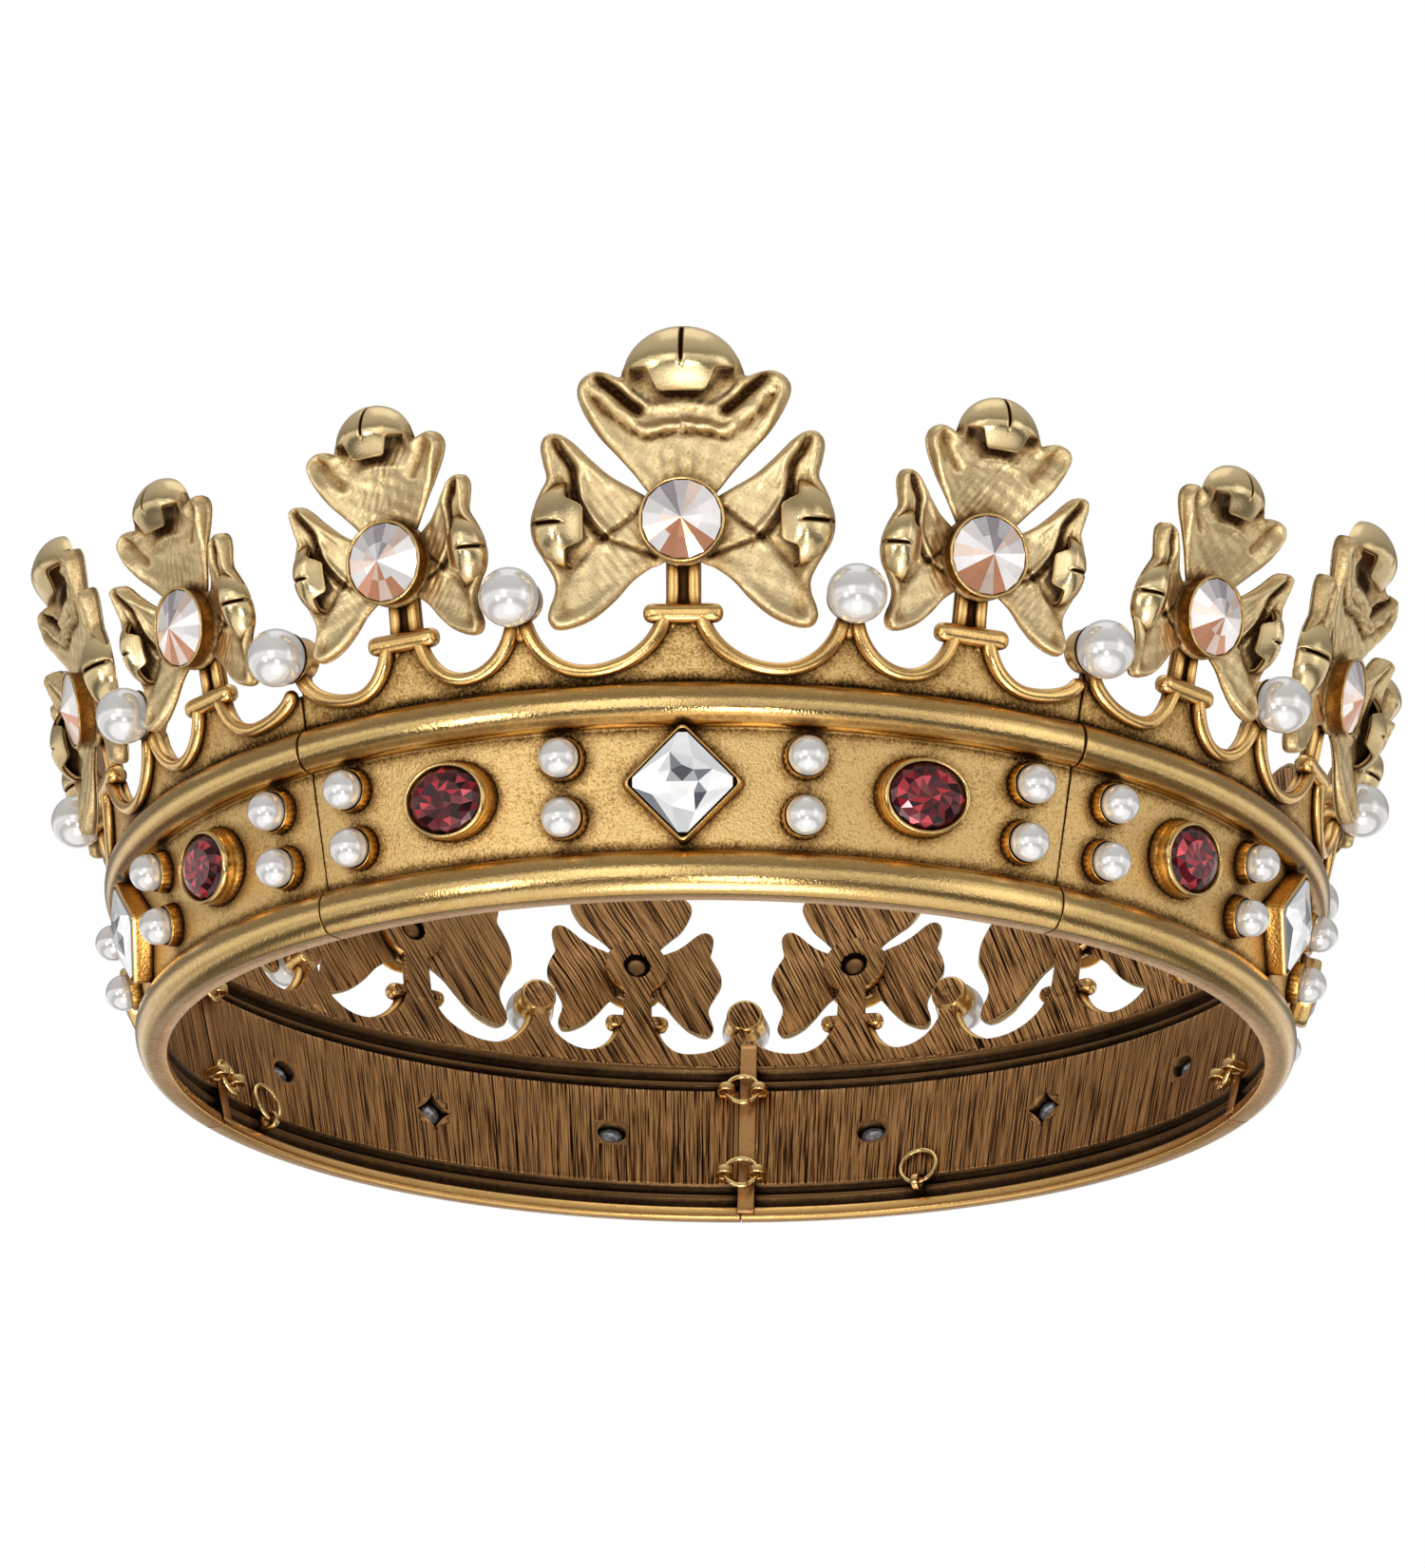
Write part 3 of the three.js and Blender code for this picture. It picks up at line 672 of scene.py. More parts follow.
def crest_top(a):
    """Height of the crest plate's upper edge at each angle."""
    out = np.full(a.shape, 41.2)
    for sw in SWAGS:
        P = swag_curve(sw, 160)
        m = (a >= P[0, 0]) & (a <= P[-1, 0])
        out[m] = np.interp(a[m], P[:, 0], P[:, 1])
    out[a < SWAGS[0][0][0]] = SWAGS[0][0][1] + 0.6
    out[a > SWAGS[-1][2][0]] = SWAGS[-1][2][1]
    for c in (-13.9, 13.9):
        m = np.abs(a - c) < 0.6
        out[m] = 42.4
    for c in (-FLEURON_AT, 0, FLEURON_AT):
        m = np.abs(a - c) < 1.65
        out[m] = 41.6
    return out


def brush_diag(P_local_x, P_local_y, angle=62.0):
    c, s = math.cos(math.radians(angle)), math.sin(math.radians(angle))
    return -P_local_x * s + P_local_y * c, P_local_x * c + P_local_y * s


def add_crest(b):
    side = SEG / 2 - math.degrees(0.25 / 101)
    a = np.unique(np.r_[np.linspace(-side, side, 330), [x for sw in SWAGS for x in (sw[0][0], sw[2][0])]])
    top = crest_top(a)
    rows = []
    lo = 31.6
    prof = [(0, 0.22, 0), (0.25, 0.22, 0), (0.6, 0.22, 0), (0.85, 0.24, 0), (0.96, 0.18, 0), (1.0, -0.1, 0), (1.0, -0.75, 1), (1.0, -1.45, 1),
            (0.96, -1.68, 1), (0.85, -1.7, 1), (0.6, -1.7, 1), (0.25, -1.7, 1), (0, -1.7, 1)]
    k = len(prof)
    P = np.zeros((len(a), k, 3))
    pat = np.zeros((len(a), k))
    br = np.zeros((len(a), k, 3))
    for j, (f, n, back) in enumerate(prof):
        u = lo + (top - lo) * f
        P[:, j] = wall(a, u, np.full(a.shape, n))
        x = np.radians(a) * 100
        g0, g1 = brush_diag(x, u)
        br[:, j, 0], br[:, j, 1] = g0, g1
        if not back:
            pat[:, j] = 0.12 + 0.5 * np.exp(-((u - 32.3) / 0.7) ** 2)
    F = grid_faces(len(a), k, cv=True)
    M = []
    for i in range(len(a) - 1):
        for j in range(k):
            M.append(RECESS if j < 5 else (ROD if j < 7 else INNER))
    n = len(a)
    F.append(tuple(range(k))[::-1])
    F.append(tuple(range((n - 1) * k, n * k)))
    M += [ROD, ROD]
    b.add(P.reshape(-1, 3), F, M, pat.ravel(), br.reshape(-1, 3))


def lathe_at(b, prof, sides, a, u, mat, patina=0.0, sx=1.0, sy=1.0, radial=None, flat=False, brush=False, spin=0.0):
    V, F = lathe(prof, sides, sx, sy, radial)
    prof = np.asarray(prof)
    pt = patina
    if callable(patina):
        pt = patina(V)
    br = None
    if brush:
        x = V[:, 0] + math.radians(a) * 100
        y = V[:, 1] + u
        g0, g1 = brush_diag(x, y)
        br = np.stack([g0, g1, np.zeros(len(V))], 1)
    m = mat
    if not np.isscalar(mat):
        nj = len(prof) - 1
        m = [mat[i % nj] for i in range(len(F))]
    b.add(sat(V, a, u, 0, spin), F, m, pt, br, flat)


def add_swags(b):
    for sw in SWAGS:
        P = swag_curve(sw, 40)
        pts = wall(P[:, 0], P[:, 1], np.full(len(P), 0.75))
        k = np.linspace(0, 1, len(P))
        rad = 0.00112 * (1 + 0.06 * np.cos(k * 2 * math.pi))
        V, F = tube(pts, rad, 14)
        pat = np.zeros(len(V))
        b.add(V, F, ROD, pat)


def rounded_bar(length, dy, dz, n=28, m=18, power=2.6):
    """A bar with full rounded ends, thicker in the middle of its depth."""
    xs = np.sin(np.linspace(-math.pi / 2, math.pi / 2, n))
    th = np.linspace(0, 2 * math.pi, m, endpoint=False)
    V = []
    for x in xs:
        k = max(0.0, 1 - abs(x) ** 9) ** 0.5
        bulge = 1.0 + 0.10 * abs(x) ** 3
        c, s = np.cos(th), np.sin(th)
        yy = np.sign(c) * np.abs(c) ** (2 / power) * dy / 2 * k * bulge
        zz = np.sign(s) * np.abs(s) ** (2 / power) * dz / 2 * k * bulge
        V.append(np.stack([np.full(m, x * length / 2), yy, zz], 1))
    V = np.array(V).reshape(-1, 3)
    F = grid_faces(n, m, cv=True)
    F.append(tuple(range(m))[::-1])
    F.append(tuple(range((n - 1) * m, n * m)))
    return V, F


def add_stems(b):
    for at, size in ((-FLEURON_AT, "small"), (0, "large"), (FLEURON_AT, "small")):
        k, fu, cu = FLEURON[size]
        # twin rods in front of a flat tongue, up to the round boss behind the fleuron
        for s in (-1, 1):
            x = s * 1.55
            y = np.linspace(-1.6, fu - cu - 4.4, 12)
            pts = np.stack([np.full(12, x) * (1 + 0.12 * np.exp(-((y) / 2.0) ** 2)), y, np.full(12, -0.62)], 1)
            V, F = tube(pts, 1.02, 12)
            b.add(sat(V, at, cu), F, ROD, 0.0)
        w = 2.62
        ys = np.linspace(-2.2, fu - cu - 4.0, 10)
        prof = [(-w, -1.45), (-w + 0.25, -1.7), (w - 0.25, -1.7), (w, -1.45), (w, -0.7), (w - 0.3, -0.55), (-w + 0.3, -0.55), (-w, -0.7)]
        V = np.array([[(x, y, z) for x, z in prof] for y in ys]).reshape(-1, 3)
        F = grid_faces(len(ys), 8, cv=True)
        M = [INNER if j in (0, 1, 2) else ROD for _ in range(len(ys) - 1) for j in range(8)]
        F += [tuple(range(8))[::-1], tuple(range((len(ys) - 1) * 8, len(ys) * 8))]
        M += [ROD, ROD]
        g0, g1 = brush_diag(V[:, 0] + math.radians(at) * 100, V[:, 1] + cu)
        pat = np.where(V[:, 2] > -0.72, 0.75, 0.0)
        b.add(sat(V, at, cu), F, M, pat, np.stack([g0, g1, 0 * g0], 1))
        # the collar that binds them
        V, F = rounded_bar(12.0, 2.95, 3.2)
        V[:, 2] += 0.35
        b.add(sat(V, at, cu), F, ROD, 0.0)
        V, F = rounded_bar(10.4, 2.0, 2.2, 20, 12)
        V[:, 2] -= 0.6
        g0, g1 = brush_diag(V[:, 0] + math.radians(at) * 100, V[:, 1] + cu)
        b.add(sat(V, at, cu), F, INNER, 0.0, np.stack([g0, g1, 0 * g0], 1))
        # boss with its hole, seen from behind
        R = 6.35 if size == "large" else 5.9
        prof = [(0, -0.62), (2.35, -0.62), (2.45, -0.75), (2.5, -1.45), (2.75, -1.68), (3.1, -1.72), (R - 0.45, -1.72), (R - 0.1, -1.55), (R, -1.2), (R, -0.25),
                (R - 0.25, 0.05), (R - 0.7, 0.18), (0, 0.18)]
        mats = [CHANNEL, CHANNEL, CHANNEL, INNER, INNER, INNER, INNER, ROD, ROD, ROD, ROD, ROD]
        lathe_at(b, prof, 56, at, fu, mats, lambda V: np.where((V[:, 2] > -1.5) & (np.hypot(V[:, 0], V[:, 1]) < 2.6), 0.6, 0.0), brush=True)
        # the riveted end in the hole
        prof = [(0, -1.32), (0.9, -1.28), (1.6, -1.05), (1.95, -0.8), (2.05, -0.55), (0, -0.5)]
        lathe_at(b, prof, 24, at, fu, CHANNEL, -0.25)


def add_cups(b):
    # crest pearls: a round back plate and a shallow cup
    for a, u in ((-13.9, 45.6), (13.9, 45.6), (-SEG / 2, 43.3)):
        prof = [(0, -1.75), (1.0, -1.78), (1.15, -1.95), (1.3, -1.78), (2.9, -1.7), (3.3, -1.5), (3.45, -1.0), (3.45, 0.1), (3.6, 1.0), (3.95, 1.9), (3.98, 2.1),
                (3.8, 2.1), (3.3, 1.4), (2.4, 0.7), (0, 0.4)]
        mats = [INNER, INNER, INNER, INNER, ROD, ROD, ROD, ROD, ROD, ROD, CUP, CUP, CUP, CUP]
        lathe_at(b, prof, 48, a, u, mats, brush=True)
    # neck pieces under the two that stand on a peak
    for a, u0, u1 in ((-13.9, 40.6, 43.2), (13.9, 40.6, 43.2)):
        y = np.linspace(0, u1 - u0, 6)
        pts = np.stack([0 * y, y, 0 * y - 0.2], 1)
        V, F = tube(pts, np.linspace(1.5, 1.9, 6), 14)
        V[:, 2] = np.clip(V[:, 2], -1.7, 2)
        b.add(sat(V, a, u0), F, ROD, 0.1)
    # band pearls: fluted cups
    flute = lambda th, j: 0.035 * np.cos(th * 22) if j in (2, 3) else 0.0
    for a in (-31.5, -10.66, 10.66, 31.5):
        for u in (12.26, 21.15):
            prof = [(0, -0.4), (3.5, -0.4), (3.42, 0.15), (3.32, 0.9), (3.26, 1.7), (3.18, 2.0), (3.06, 2.03), (2.96, 1.85), (2.88, 1.4), (0, 0.9)]
            lathe_at(b, prof, 88, a, u, CUP, lambda V: np.where(V[:, 2] < 0.6, 0.5, 0.15) * (np.hypot(V[:, 0], V[:, 1]) > 3.3), radial=flute)
    # oval bezels: a stepped foot and a smooth rim
    for s in (-1, 1):
        prof = [(0, -0.5), (1.10, -0.5), (1.10, 0.25), (1.065, 0.75), (1.035, 0.95), (1.03, 1.9), (1.035, 2.7), (1.02, 3.2), (0.985, 3.48), (0.945, 3.5), (0.915, 3.3),
                (0.895, 2.8), (0.86, 2.2), (0, 1.0)]
        mats = [CUP, CUP, CUP, CUP, CUP, RAIL, RAIL, RAIL, RAIL, RAIL, RAIL, CUP, CUP]
        fl = lambda th, j: 0.018 * np.cos(th * 40) if j in (2, 3) else 0.0
        lathe_at(b, prof, 120, s * 21.3, MID_U, mats, lambda V: np.where(V[:, 2] < 0.9, 0.45, 0.0), 6.7, 5.6, radial=fl)
    # square bezel on its point: thin wall with rounded corners
    def squircle(side, n=64, corner=0.9):
        h = side / 2 - corner
        pts = []
        for q, (cx, cy) in enumerate(((h, h), (-h, h), (-h, -h), (h, -h))):
            for k in range(n // 4):
                t = math.radians(90 * q + 90 * k / (n // 4 - 1))
                pts.append((cx + corner * math.cos(t), cy + corner * math.sin(t)))
        c = math.sqrt(0.5)
        return np.array([(x * c - y * c, x * c + y * c) for x, y in pts])
    rows = [(13.3, -0.5), (13.3, 0.2), (12.85, 0.7), (12.75, 2.6), (12.7, 3.05), (12.5, 3.25), (12.2, 3.3), (11.95, 3.15), (11.8, 2.6), (11.2, 1.6), (6.0, 0.9)]
    ring = [np.c_[squircle(w), np.full(64, z)] for w, z in rows]
    V = np.array(ring).reshape(-1, 3)
    F = grid_faces(len(rows), 64, cv=True)
    F += [tuple(range(64))[::-1], tuple(range((len(rows) - 1) * 64, len(rows) * 64))]
    M = []
    for i in range(len(rows) - 1):
        M += [CUP if i < 3 or i > 6 else ROD] * 64
    M += [CUP, CUP]
    b.add(sat(V, 0, MID_U), F, M, np.where(V[:, 2] < 0.6, 0.5, 0.0))


def eyelet(width, thick, tip, hole_n, hole_r, root, m=40):
    """A cast lug with a hole: outline in (x, n), drawn out along y."""
    th = np.linspace(0, 2 * math.pi, m, endpoint=False)
    out = []
    w = width / 2
    for t in th:
        dx, dz = math.cos(t), math.sin(t)
        if dz <= 0:
            R = w if abs(dx) > 1e-9 or True else w
            k = (hole_n - tip) / w
            out.append((w * dx, hole_n + w * dz * k))
        else:
            L = min(w / abs(dx) if abs(dx) > 1e-6 else 1e9, (root - hole_n) / dz)
            out.append((dx * L, hole_n + dz * L))
    out = np.array(out)
    inn = np.stack([hole_r * np.cos(th), hole_n + hole_r * np.sin(th)], 1)
    h = thick / 2
    rings = []
    ctr = np.array([0, hole_n])
    for k, y in ((1.0, -h * 0.6), (0.94, -h), ):
        rings.append(np.stack([ctr[0] + (out[:, 0] - ctr[0]) * k, np.full(m, y), ctr[1] + (out[:, 1] - ctr[1]) * k], 1))
    rings.append(np.stack([inn[:, 0] * 1.06, np.full(m, -h), hole_n + (inn[:, 1] - hole_n) * 1.06], 1))
    rings.append(np.stack([inn[:, 0], np.full(m, -h * 0.7), inn[:, 1]], 1))
    rings.append(np.stack([inn[:, 0], np.full(m, h * 0.7), inn[:, 1]], 1))
    rings.append(np.stack([inn[:, 0] * 1.06, np.full(m, h), hole_n + (inn[:, 1] - hole_n) * 1.06], 1))
    for k, y in ((0.94, h), (1.0, h * 0.6)):
        rings.append(np.stack([ctr[0] + (out[:, 0] - ctr[0]) * k, np.full(m, y), ctr[1] + (out[:, 1] - ctr[1]) * k], 1))
    V = np.array(rings).reshape(-1, 3)
    return V, grid_faces(len(rings), m, cu=True, cv=True)


def add_lugs(b):
    for side in (-1, 1):
        for u in (8.0, 25.6):
            V, F = eyelet(3.3, 1.5, -5.85, -4.1, 1.15, -1.4)
            V[:, 0] += -side * 3.05
            b.add(sat(V, side * SEG / 2, u), F, RING, 0.1)


def add_lap(b):
    """A thin lip behind the joint, fixed to the right-hand end, that covers the gap from inside."""
    ys = np.linspace(0.4, 36.5, 30)
    prof = [(-2.5, -1.75), (-2.5, -2.2), (-2.25, -2.32), (0.45, -2.32), (0.6, -2.28), (0.6, -2.15), (-0.25, -2.13), (-0.25, -1.75)]
    V = np.array([[(x, y, z) for x, z in prof] for y in ys]).reshape(-1, 3)
    F = grid_faces(len(ys), 8, cv=True)
    F += [tuple(range(8))[::-1], tuple(range((len(ys) - 1) * 8, len(ys) * 8))]
    b.add(sat(V, SEG / 2, 0), F, INNER, 0.0)


def add_pin_eye(b, a):
    V, F = eyelet(3.0, 1.3, -4.75, -3.3, 1.0, -0.3)
    V = V[:, [1, 0, 2]]  # the hole runs along the rim
    b.add(sat(V, a, 4.4), F, RING, 0.15)


def band_mesh(name, pin=None):
    b = make_band()
    me = b.mesh("band_shell", METALS)
    cuts = [cutter(diamond_star(3.5), -3.2, -0.15, 0, MID_U)]
    for s in (-1, 1):
        cuts.append(cutter(ellipse(2.75, 2.0), -3.2, -0.15, s * 21.3, MID_U))
    me = cut(me, cuts, "band_cut")
    b = Builder()
    add_crest(b)
    add_swags(b)
    add_stems(b)
    add_cups(b)
    add_lugs(b)
    add_lap(b)
    if pin is not None:
        add_pin_eye(b, pin)
    me2 = b.mesh("band_rest", METALS)
    bm = bmesh.new()
    bm.from_mesh(me)
    bm.from_mesh(me2)
    bm.normal_update()
    out = bpy.data.meshes.new(name)
    bm.to_mesh(out)
    bm.free()
    for m in METALS:
        out.materials.append(m)
    bpy.data.meshes.remove(me2)
    return out


# ------------------------------------------------------------------ fleurons
TOP_OUT = [(5.3, 4.6), (7.6, 7.4), (10.2, 10.3), (13.05, 13.4), (15.2, 16.8), (16.3, 19.7), (15.7, 21.6), (13.7, 22.7), (11.6, 22.5), (9.6, 21.9),
           (9.1, 23.0), (8.2, 25.0), (6.1, 27.0), (3.3, 28.3), (0.3, 28.8), (-2.7, 28.4), (-5.6, 27.2), (-7.8, 25.2), (-9.0, 23.0), (-9.4, 21.9),
           (-11.2, 22.6), (-13.2, 22.8), (-15.2, 21.6), (-15.8, 19.5), (-14.7, 16.4), (-12.5, 13.0), (-9.9, 10.2), (-7.4, 7.4), (-5.2, 4.6), (-3.0, 2.6), (3.0, 2.6)]
SIDE_OUT = [(4.6, 3.4), (7.4, 5.1), (10.8, 7.1), (13.7, 9.6), (16.5, 12.3), (18.7, 13.5), (20.5, 13.2), (21.3, 11.6), (20.9, 9.0), (20.4, 6.8),
            (21.3, 4.9), (22.2, 2.7), (22.5, 0.2), (22.1, -2.4), (21.1, -5.0), (19.9, -7.1), (19.1, -9.0), (19.2, -10.9), (19.9, -12.8), (20.1, -14.6),
            (19.0, -16.0), (16.6, -15.9), (13.2, -14.4), (10.0, -11.7), (7.5, -8.9), (4.9, -7.0), (2.6, -5.8), (1.5, -2.0), (2.6, 1.6)]


def shape_fleuron(V, k):
    """Scales a fleuron part. The small fleurons are a little taller for their width, with petals that curl forward."""
    if k == 1.0:
        return V
    V = V * np.array([k, k * 1.11, 1.0])
    r = np.hypot(V[:, 0], V[:, 1])
    V[:, 2] += 2.3 * sstep(r, 4.8, 16) * (0.25 + 0.75 * sstep(V[:, 1], -5, 7))
    return V


def petal(b, outline, centre, height, k, mirror=False, M=168, K=30, mat=PETAL):
    """A cast petal: flat filed back, relief front, rounded edge."""
    O = catmull(outline, M, closed=True)
    c = np.array(centre, float)
    ts = np.r_[np.linspace(0, 0.72, K - 12), 0.76, 0.80, 0.84, 0.875, 0.905, 0.93, 0.95, 0.967, 0.982, 0.993]
    ts[0] = 0.0
    grid = c + (O - c)[None] * ts[:, None, None]
    flat = grid.reshape(-1, 2)
    dE, _ = dist_to(flat, O, closed=True)
    h, pat = height(flat, dE)
    # rounded edge
    edge = np.clip(dE / 0.75, 0, 1)
    back = 0.55
    mid = back + 0.55
    h = mid + (h - mid) * np.sqrt(np.clip(1 - (1 - edge) ** 2, 0, 1)) + 0.0
    front = np.c_[flat, h].reshape(len(ts), M, 3)
    rim = np.c_[O, np.full(M, mid - 0.02)][None]
    front = np.concatenate([front, rim])
    tb = np.array([0.0, 0.4, 0.75, 0.9, 0.965, 0.992])
    gb = c + (O - c)[None] * tb[:, None, None]
    zb = np.full(gb.shape[:2], back)
    zb[-1] += 0.14
    backg = np.concatenate([gb, zb[..., None]], 2)
    V, F = shell_between(front, backg)
    pf = np.r_[pat, np.full(M, 0.25)]
    pb = np.zeros(len(tb) * M)
    nf = grid_faces(front.shape[0], M, cv=True)
    mats = [mat] * len(nf) + [INNER] * len(grid_faces(len(tb), M, cv=True)) + [mat] * M
    x, y = V[:, 0].copy(), V[:, 1].copy()
    if mirror:
        V[:, 0] *= -1
        x = -x
    g0, g1 = brush_diag(x * k, y * k)
    V[:, 2] = 0.55 + (V[:, 2] - 0.55) * (0.5 + 0.5 * k)
    V = shape_fleuron(V, k)
    b.add(V, F, mats, np.r_[pf, pb], np.stack([g0, g1, 0 * g0], 1))


def ridge(d, at, w):
    return np.exp(-(((d - at) / w) ** 2))


def top_height(large):
    def f(P, dE):
        x, y = P[:, 0], P[:, 1]
        ax = np.abs(x)
        h = 1.35 + 0.045 * np.clip(y - 5, 0, 30)
        h += 0.9 * (ax / 15) ** 2 * sstep(y, 6, 18)
        pat = np.zeros(len(P))
        # rolled rim, strongest round the two lobes
        lobes = sstep(y, 11, 18) * sstep(ax, 4, 8)
        h += (0.2 + 0.85 * lobes) * ridge(dE, 1.15, 0.95)
        # hollow under the curled tip
        hol = np.exp(-((x / 8.0) ** 2 + ((y - 22.4) / 2.6) ** 2))
        h -= 0.45 * hol
        pat += 1.1 * np.exp(-((x / 4.8) ** 2 + ((y - 20.2) / 1.7) ** 2) ** 2) + 0.9 * np.exp(-(((ax - 6.6) / 1.9) ** 2 + ((y - 22.0) / 1.5) ** 2))
        # lip below the opening
        h += 0.55 * ridge(y + 0.02 * x * x, 17.6, 0.8) * np.exp(-(x / 6.0) ** 4)
        pat += 0.45 * ridge(y + 0.02 * x * x, 18.9, 0.55) * np.exp(-(x / 5.0) ** 4)
        # folds running in from each lobe
        for s in (-1, 1):
            if large:
                d, _ = dist_to(P, [(s * 12.4, 21.6), (s * 10.2, 19.9), (s * 8.2, 18.0), (s * 6.6, 16.9)])
                h -= 1.35 * ridge(d, 0, 0.62)
                pat += 1.0 * ridge(d, 0, 0.6)
                h += 0.35 * ridge(d, 1.35, 0.6)
                d, _ = dist_to(P, [(s * 11.2, 19.6), (s * 9.2, 17.2), (s * 7.0, 15.4)])
                h += 0.25 * ridge(d, 0.0, 0.5)
            else:
                d, _ = dist_to(P, [(s * 12.6, 21.2), (s * 10.6, 18.0), (s * 8.4, 15.6)])
                h -= 0.75 * ridge(d, 0, 0.95)
                pat += 0.35 * ridge(d, 0, 0.6)
        if large:
            smile = catmull([(-13.0, 18.6), (-11.6, 16.9), (-8.8, 14.6), (-5.6, 12.8), (-3.4, 13.2), (0, 13.6), (3.6, 13.3), (6.7, 12.7), (9.4, 14.6), (12.4, 17.2), (13.5, 18.8)], 60)
            d, side = dist_to(P, smile)
            sd = d * side
            wob = 0.15 * np.sin(x * 2.1) + 0.1 * np.sin(x * 4.3 + 1)
            h += 0.95 * ridge(sd, 1.0 + wob, 0.85) - 0.5 * ridge(sd, -0.05, 0.36)
            pat += 0.75 * ridge(sd, -0.05, 0.28) * (0.75 + 0.35 * np.sin(x * 3.3))
            # rays fanning up from the stone
            for q, amp in ((-3.1, 0.16), (-1.2, 0.2), (1.1, 0.22), (3.3, 0.15)):
                h += amp * ridge(x - q * (0.55 + y * 0.06), 0, 0.55) * sstep(y, 4, 7) * sstep(-y, -12.6, -9)
            pat += 0.3 * np.exp(-((x / 4.2) ** 2)) * sstep(-y, -11, -6)
        else:
            h += 0.5 * ridge(y - 0.03 * x * x, 13.2, 2.2) * np.exp(-(x / 9) ** 2) * 0.5
            pat += 0.22 * np.exp(-((x / 5) ** 2)) * sstep(-y, -11, -6)
        pat += 0.25 * ridge(dE, 0.0, 0.5)
        # uneven, hand-worked surface
        h += 0.07 * np.sin(x * 1.7 + y * 0.9) * np.sin(y * 1.3 - x * 0.6) + 0.04 * np.sin(x * 3.9 - y * 2.7)
        return np.clip(h, 1.15, 5), np.clip(pat, 0, 1.1)
    return f


def side_height(large):
    def f(P, dE):
        x, y = P[:, 0], P[:, 1]
        h = 1.35 + 0.05 * np.clip(x - 5, 0, 30)
        h += 0.55 * (np.abs(y + 1) / 13) ** 2
        pat = np.zeros(len(P))
        lobes = sstep(x, 9, 15) * sstep(np.abs(y + 0.5), 4, 8)
        h += (0.15 + 0.7 * lobes * np.where(y > 0, 1.0, 0.55)) * ridge(dE, 1.1, 0.9)
        hol = np.exp(-(((x - 17.4) / 2.6) ** 2 + ((y + 0.3) / 6.0) ** 2))
        h -= 0.8 * hol
        pat += 0.85 * np.exp(-(((x - 17.4) / 2.3) ** 2 + ((y + 0.3) / 6.0) ** 2) ** 2)
        # the fold from the upper lobe's tip down to the junction
        c1 = catmull([(18.9, 12.2), (17.9, 10.4), (16.4, 7.9), (16.2, 5.2), (15.6, 2.4), (13.6, -0.6), (11.9, -2.3)], 50)
        d, side = dist_to(P, c1)
        sd = d * side
        wob = 0.12 * np.sin(y * 2.7) + 0.1 * np.sin(y * 5.1 + 2)
        h += -0.75 * ridge(d, 0, 0.5) + 0.45 * ridge(sd, 1.1 + wob, 0.8) + 0.5 * ridge(sd, -1.1, 0.7)
        pat += 0.7 * ridge(d, 0, 0.42) * (0.8 + 0.3 * np.sin(y * 3.1))
        # a fold down the inside of the lower lobe
        c4 = catmull([(13.0, -3.0), (15.2, -5.0), (17.2, -8.0), (17.9, -10.5)], 30)
        d, _ = dist_to(P, c4)
        h -= 0.3 * ridge(d, 0, 0.8)
        pat += 0.28 * ridge(d, 0, 0.8)
        # the small triangle beside the stone
        for line in ([(11.9, -2.3), (9.0, -0.2), (5.9, 2.1)], [(11.9, -2.3), (8.0, -3.6), (4.0, -5.0)]):
            d, _ = dist_to(P, line)
            h -= 0.45 * ridge(d, 0, 0.38)
            pat += 0.55 * ridge(d, 0, 0.34)
        # dimple in the lower tip
        h -= 0.4 * np.exp(-(((x - 17.6) / 1.3) ** 2 + ((y + 13.0) / 1.6) ** 2))
        pat += 0.3 * np.exp(-(((x - 17.6) / 1.2) ** 2 + ((y + 13.0) / 1.5) ** 2))
        pat += 0.22 * ridge(dE, 0.0, 0.5) + 0.2 * np.exp(-((x - 5) / 2.5) ** 2)
        h += 0.06 * np.sin(x * 1.5 + y * 1.1) * np.sin(y * 1.2 - x * 0.7) + 0.035 * np.sin(x * 3.7 - y * 2.9)
        return np.clip(h, 1.15, 5), np.clip(pat, 0, 1.1)
    return f


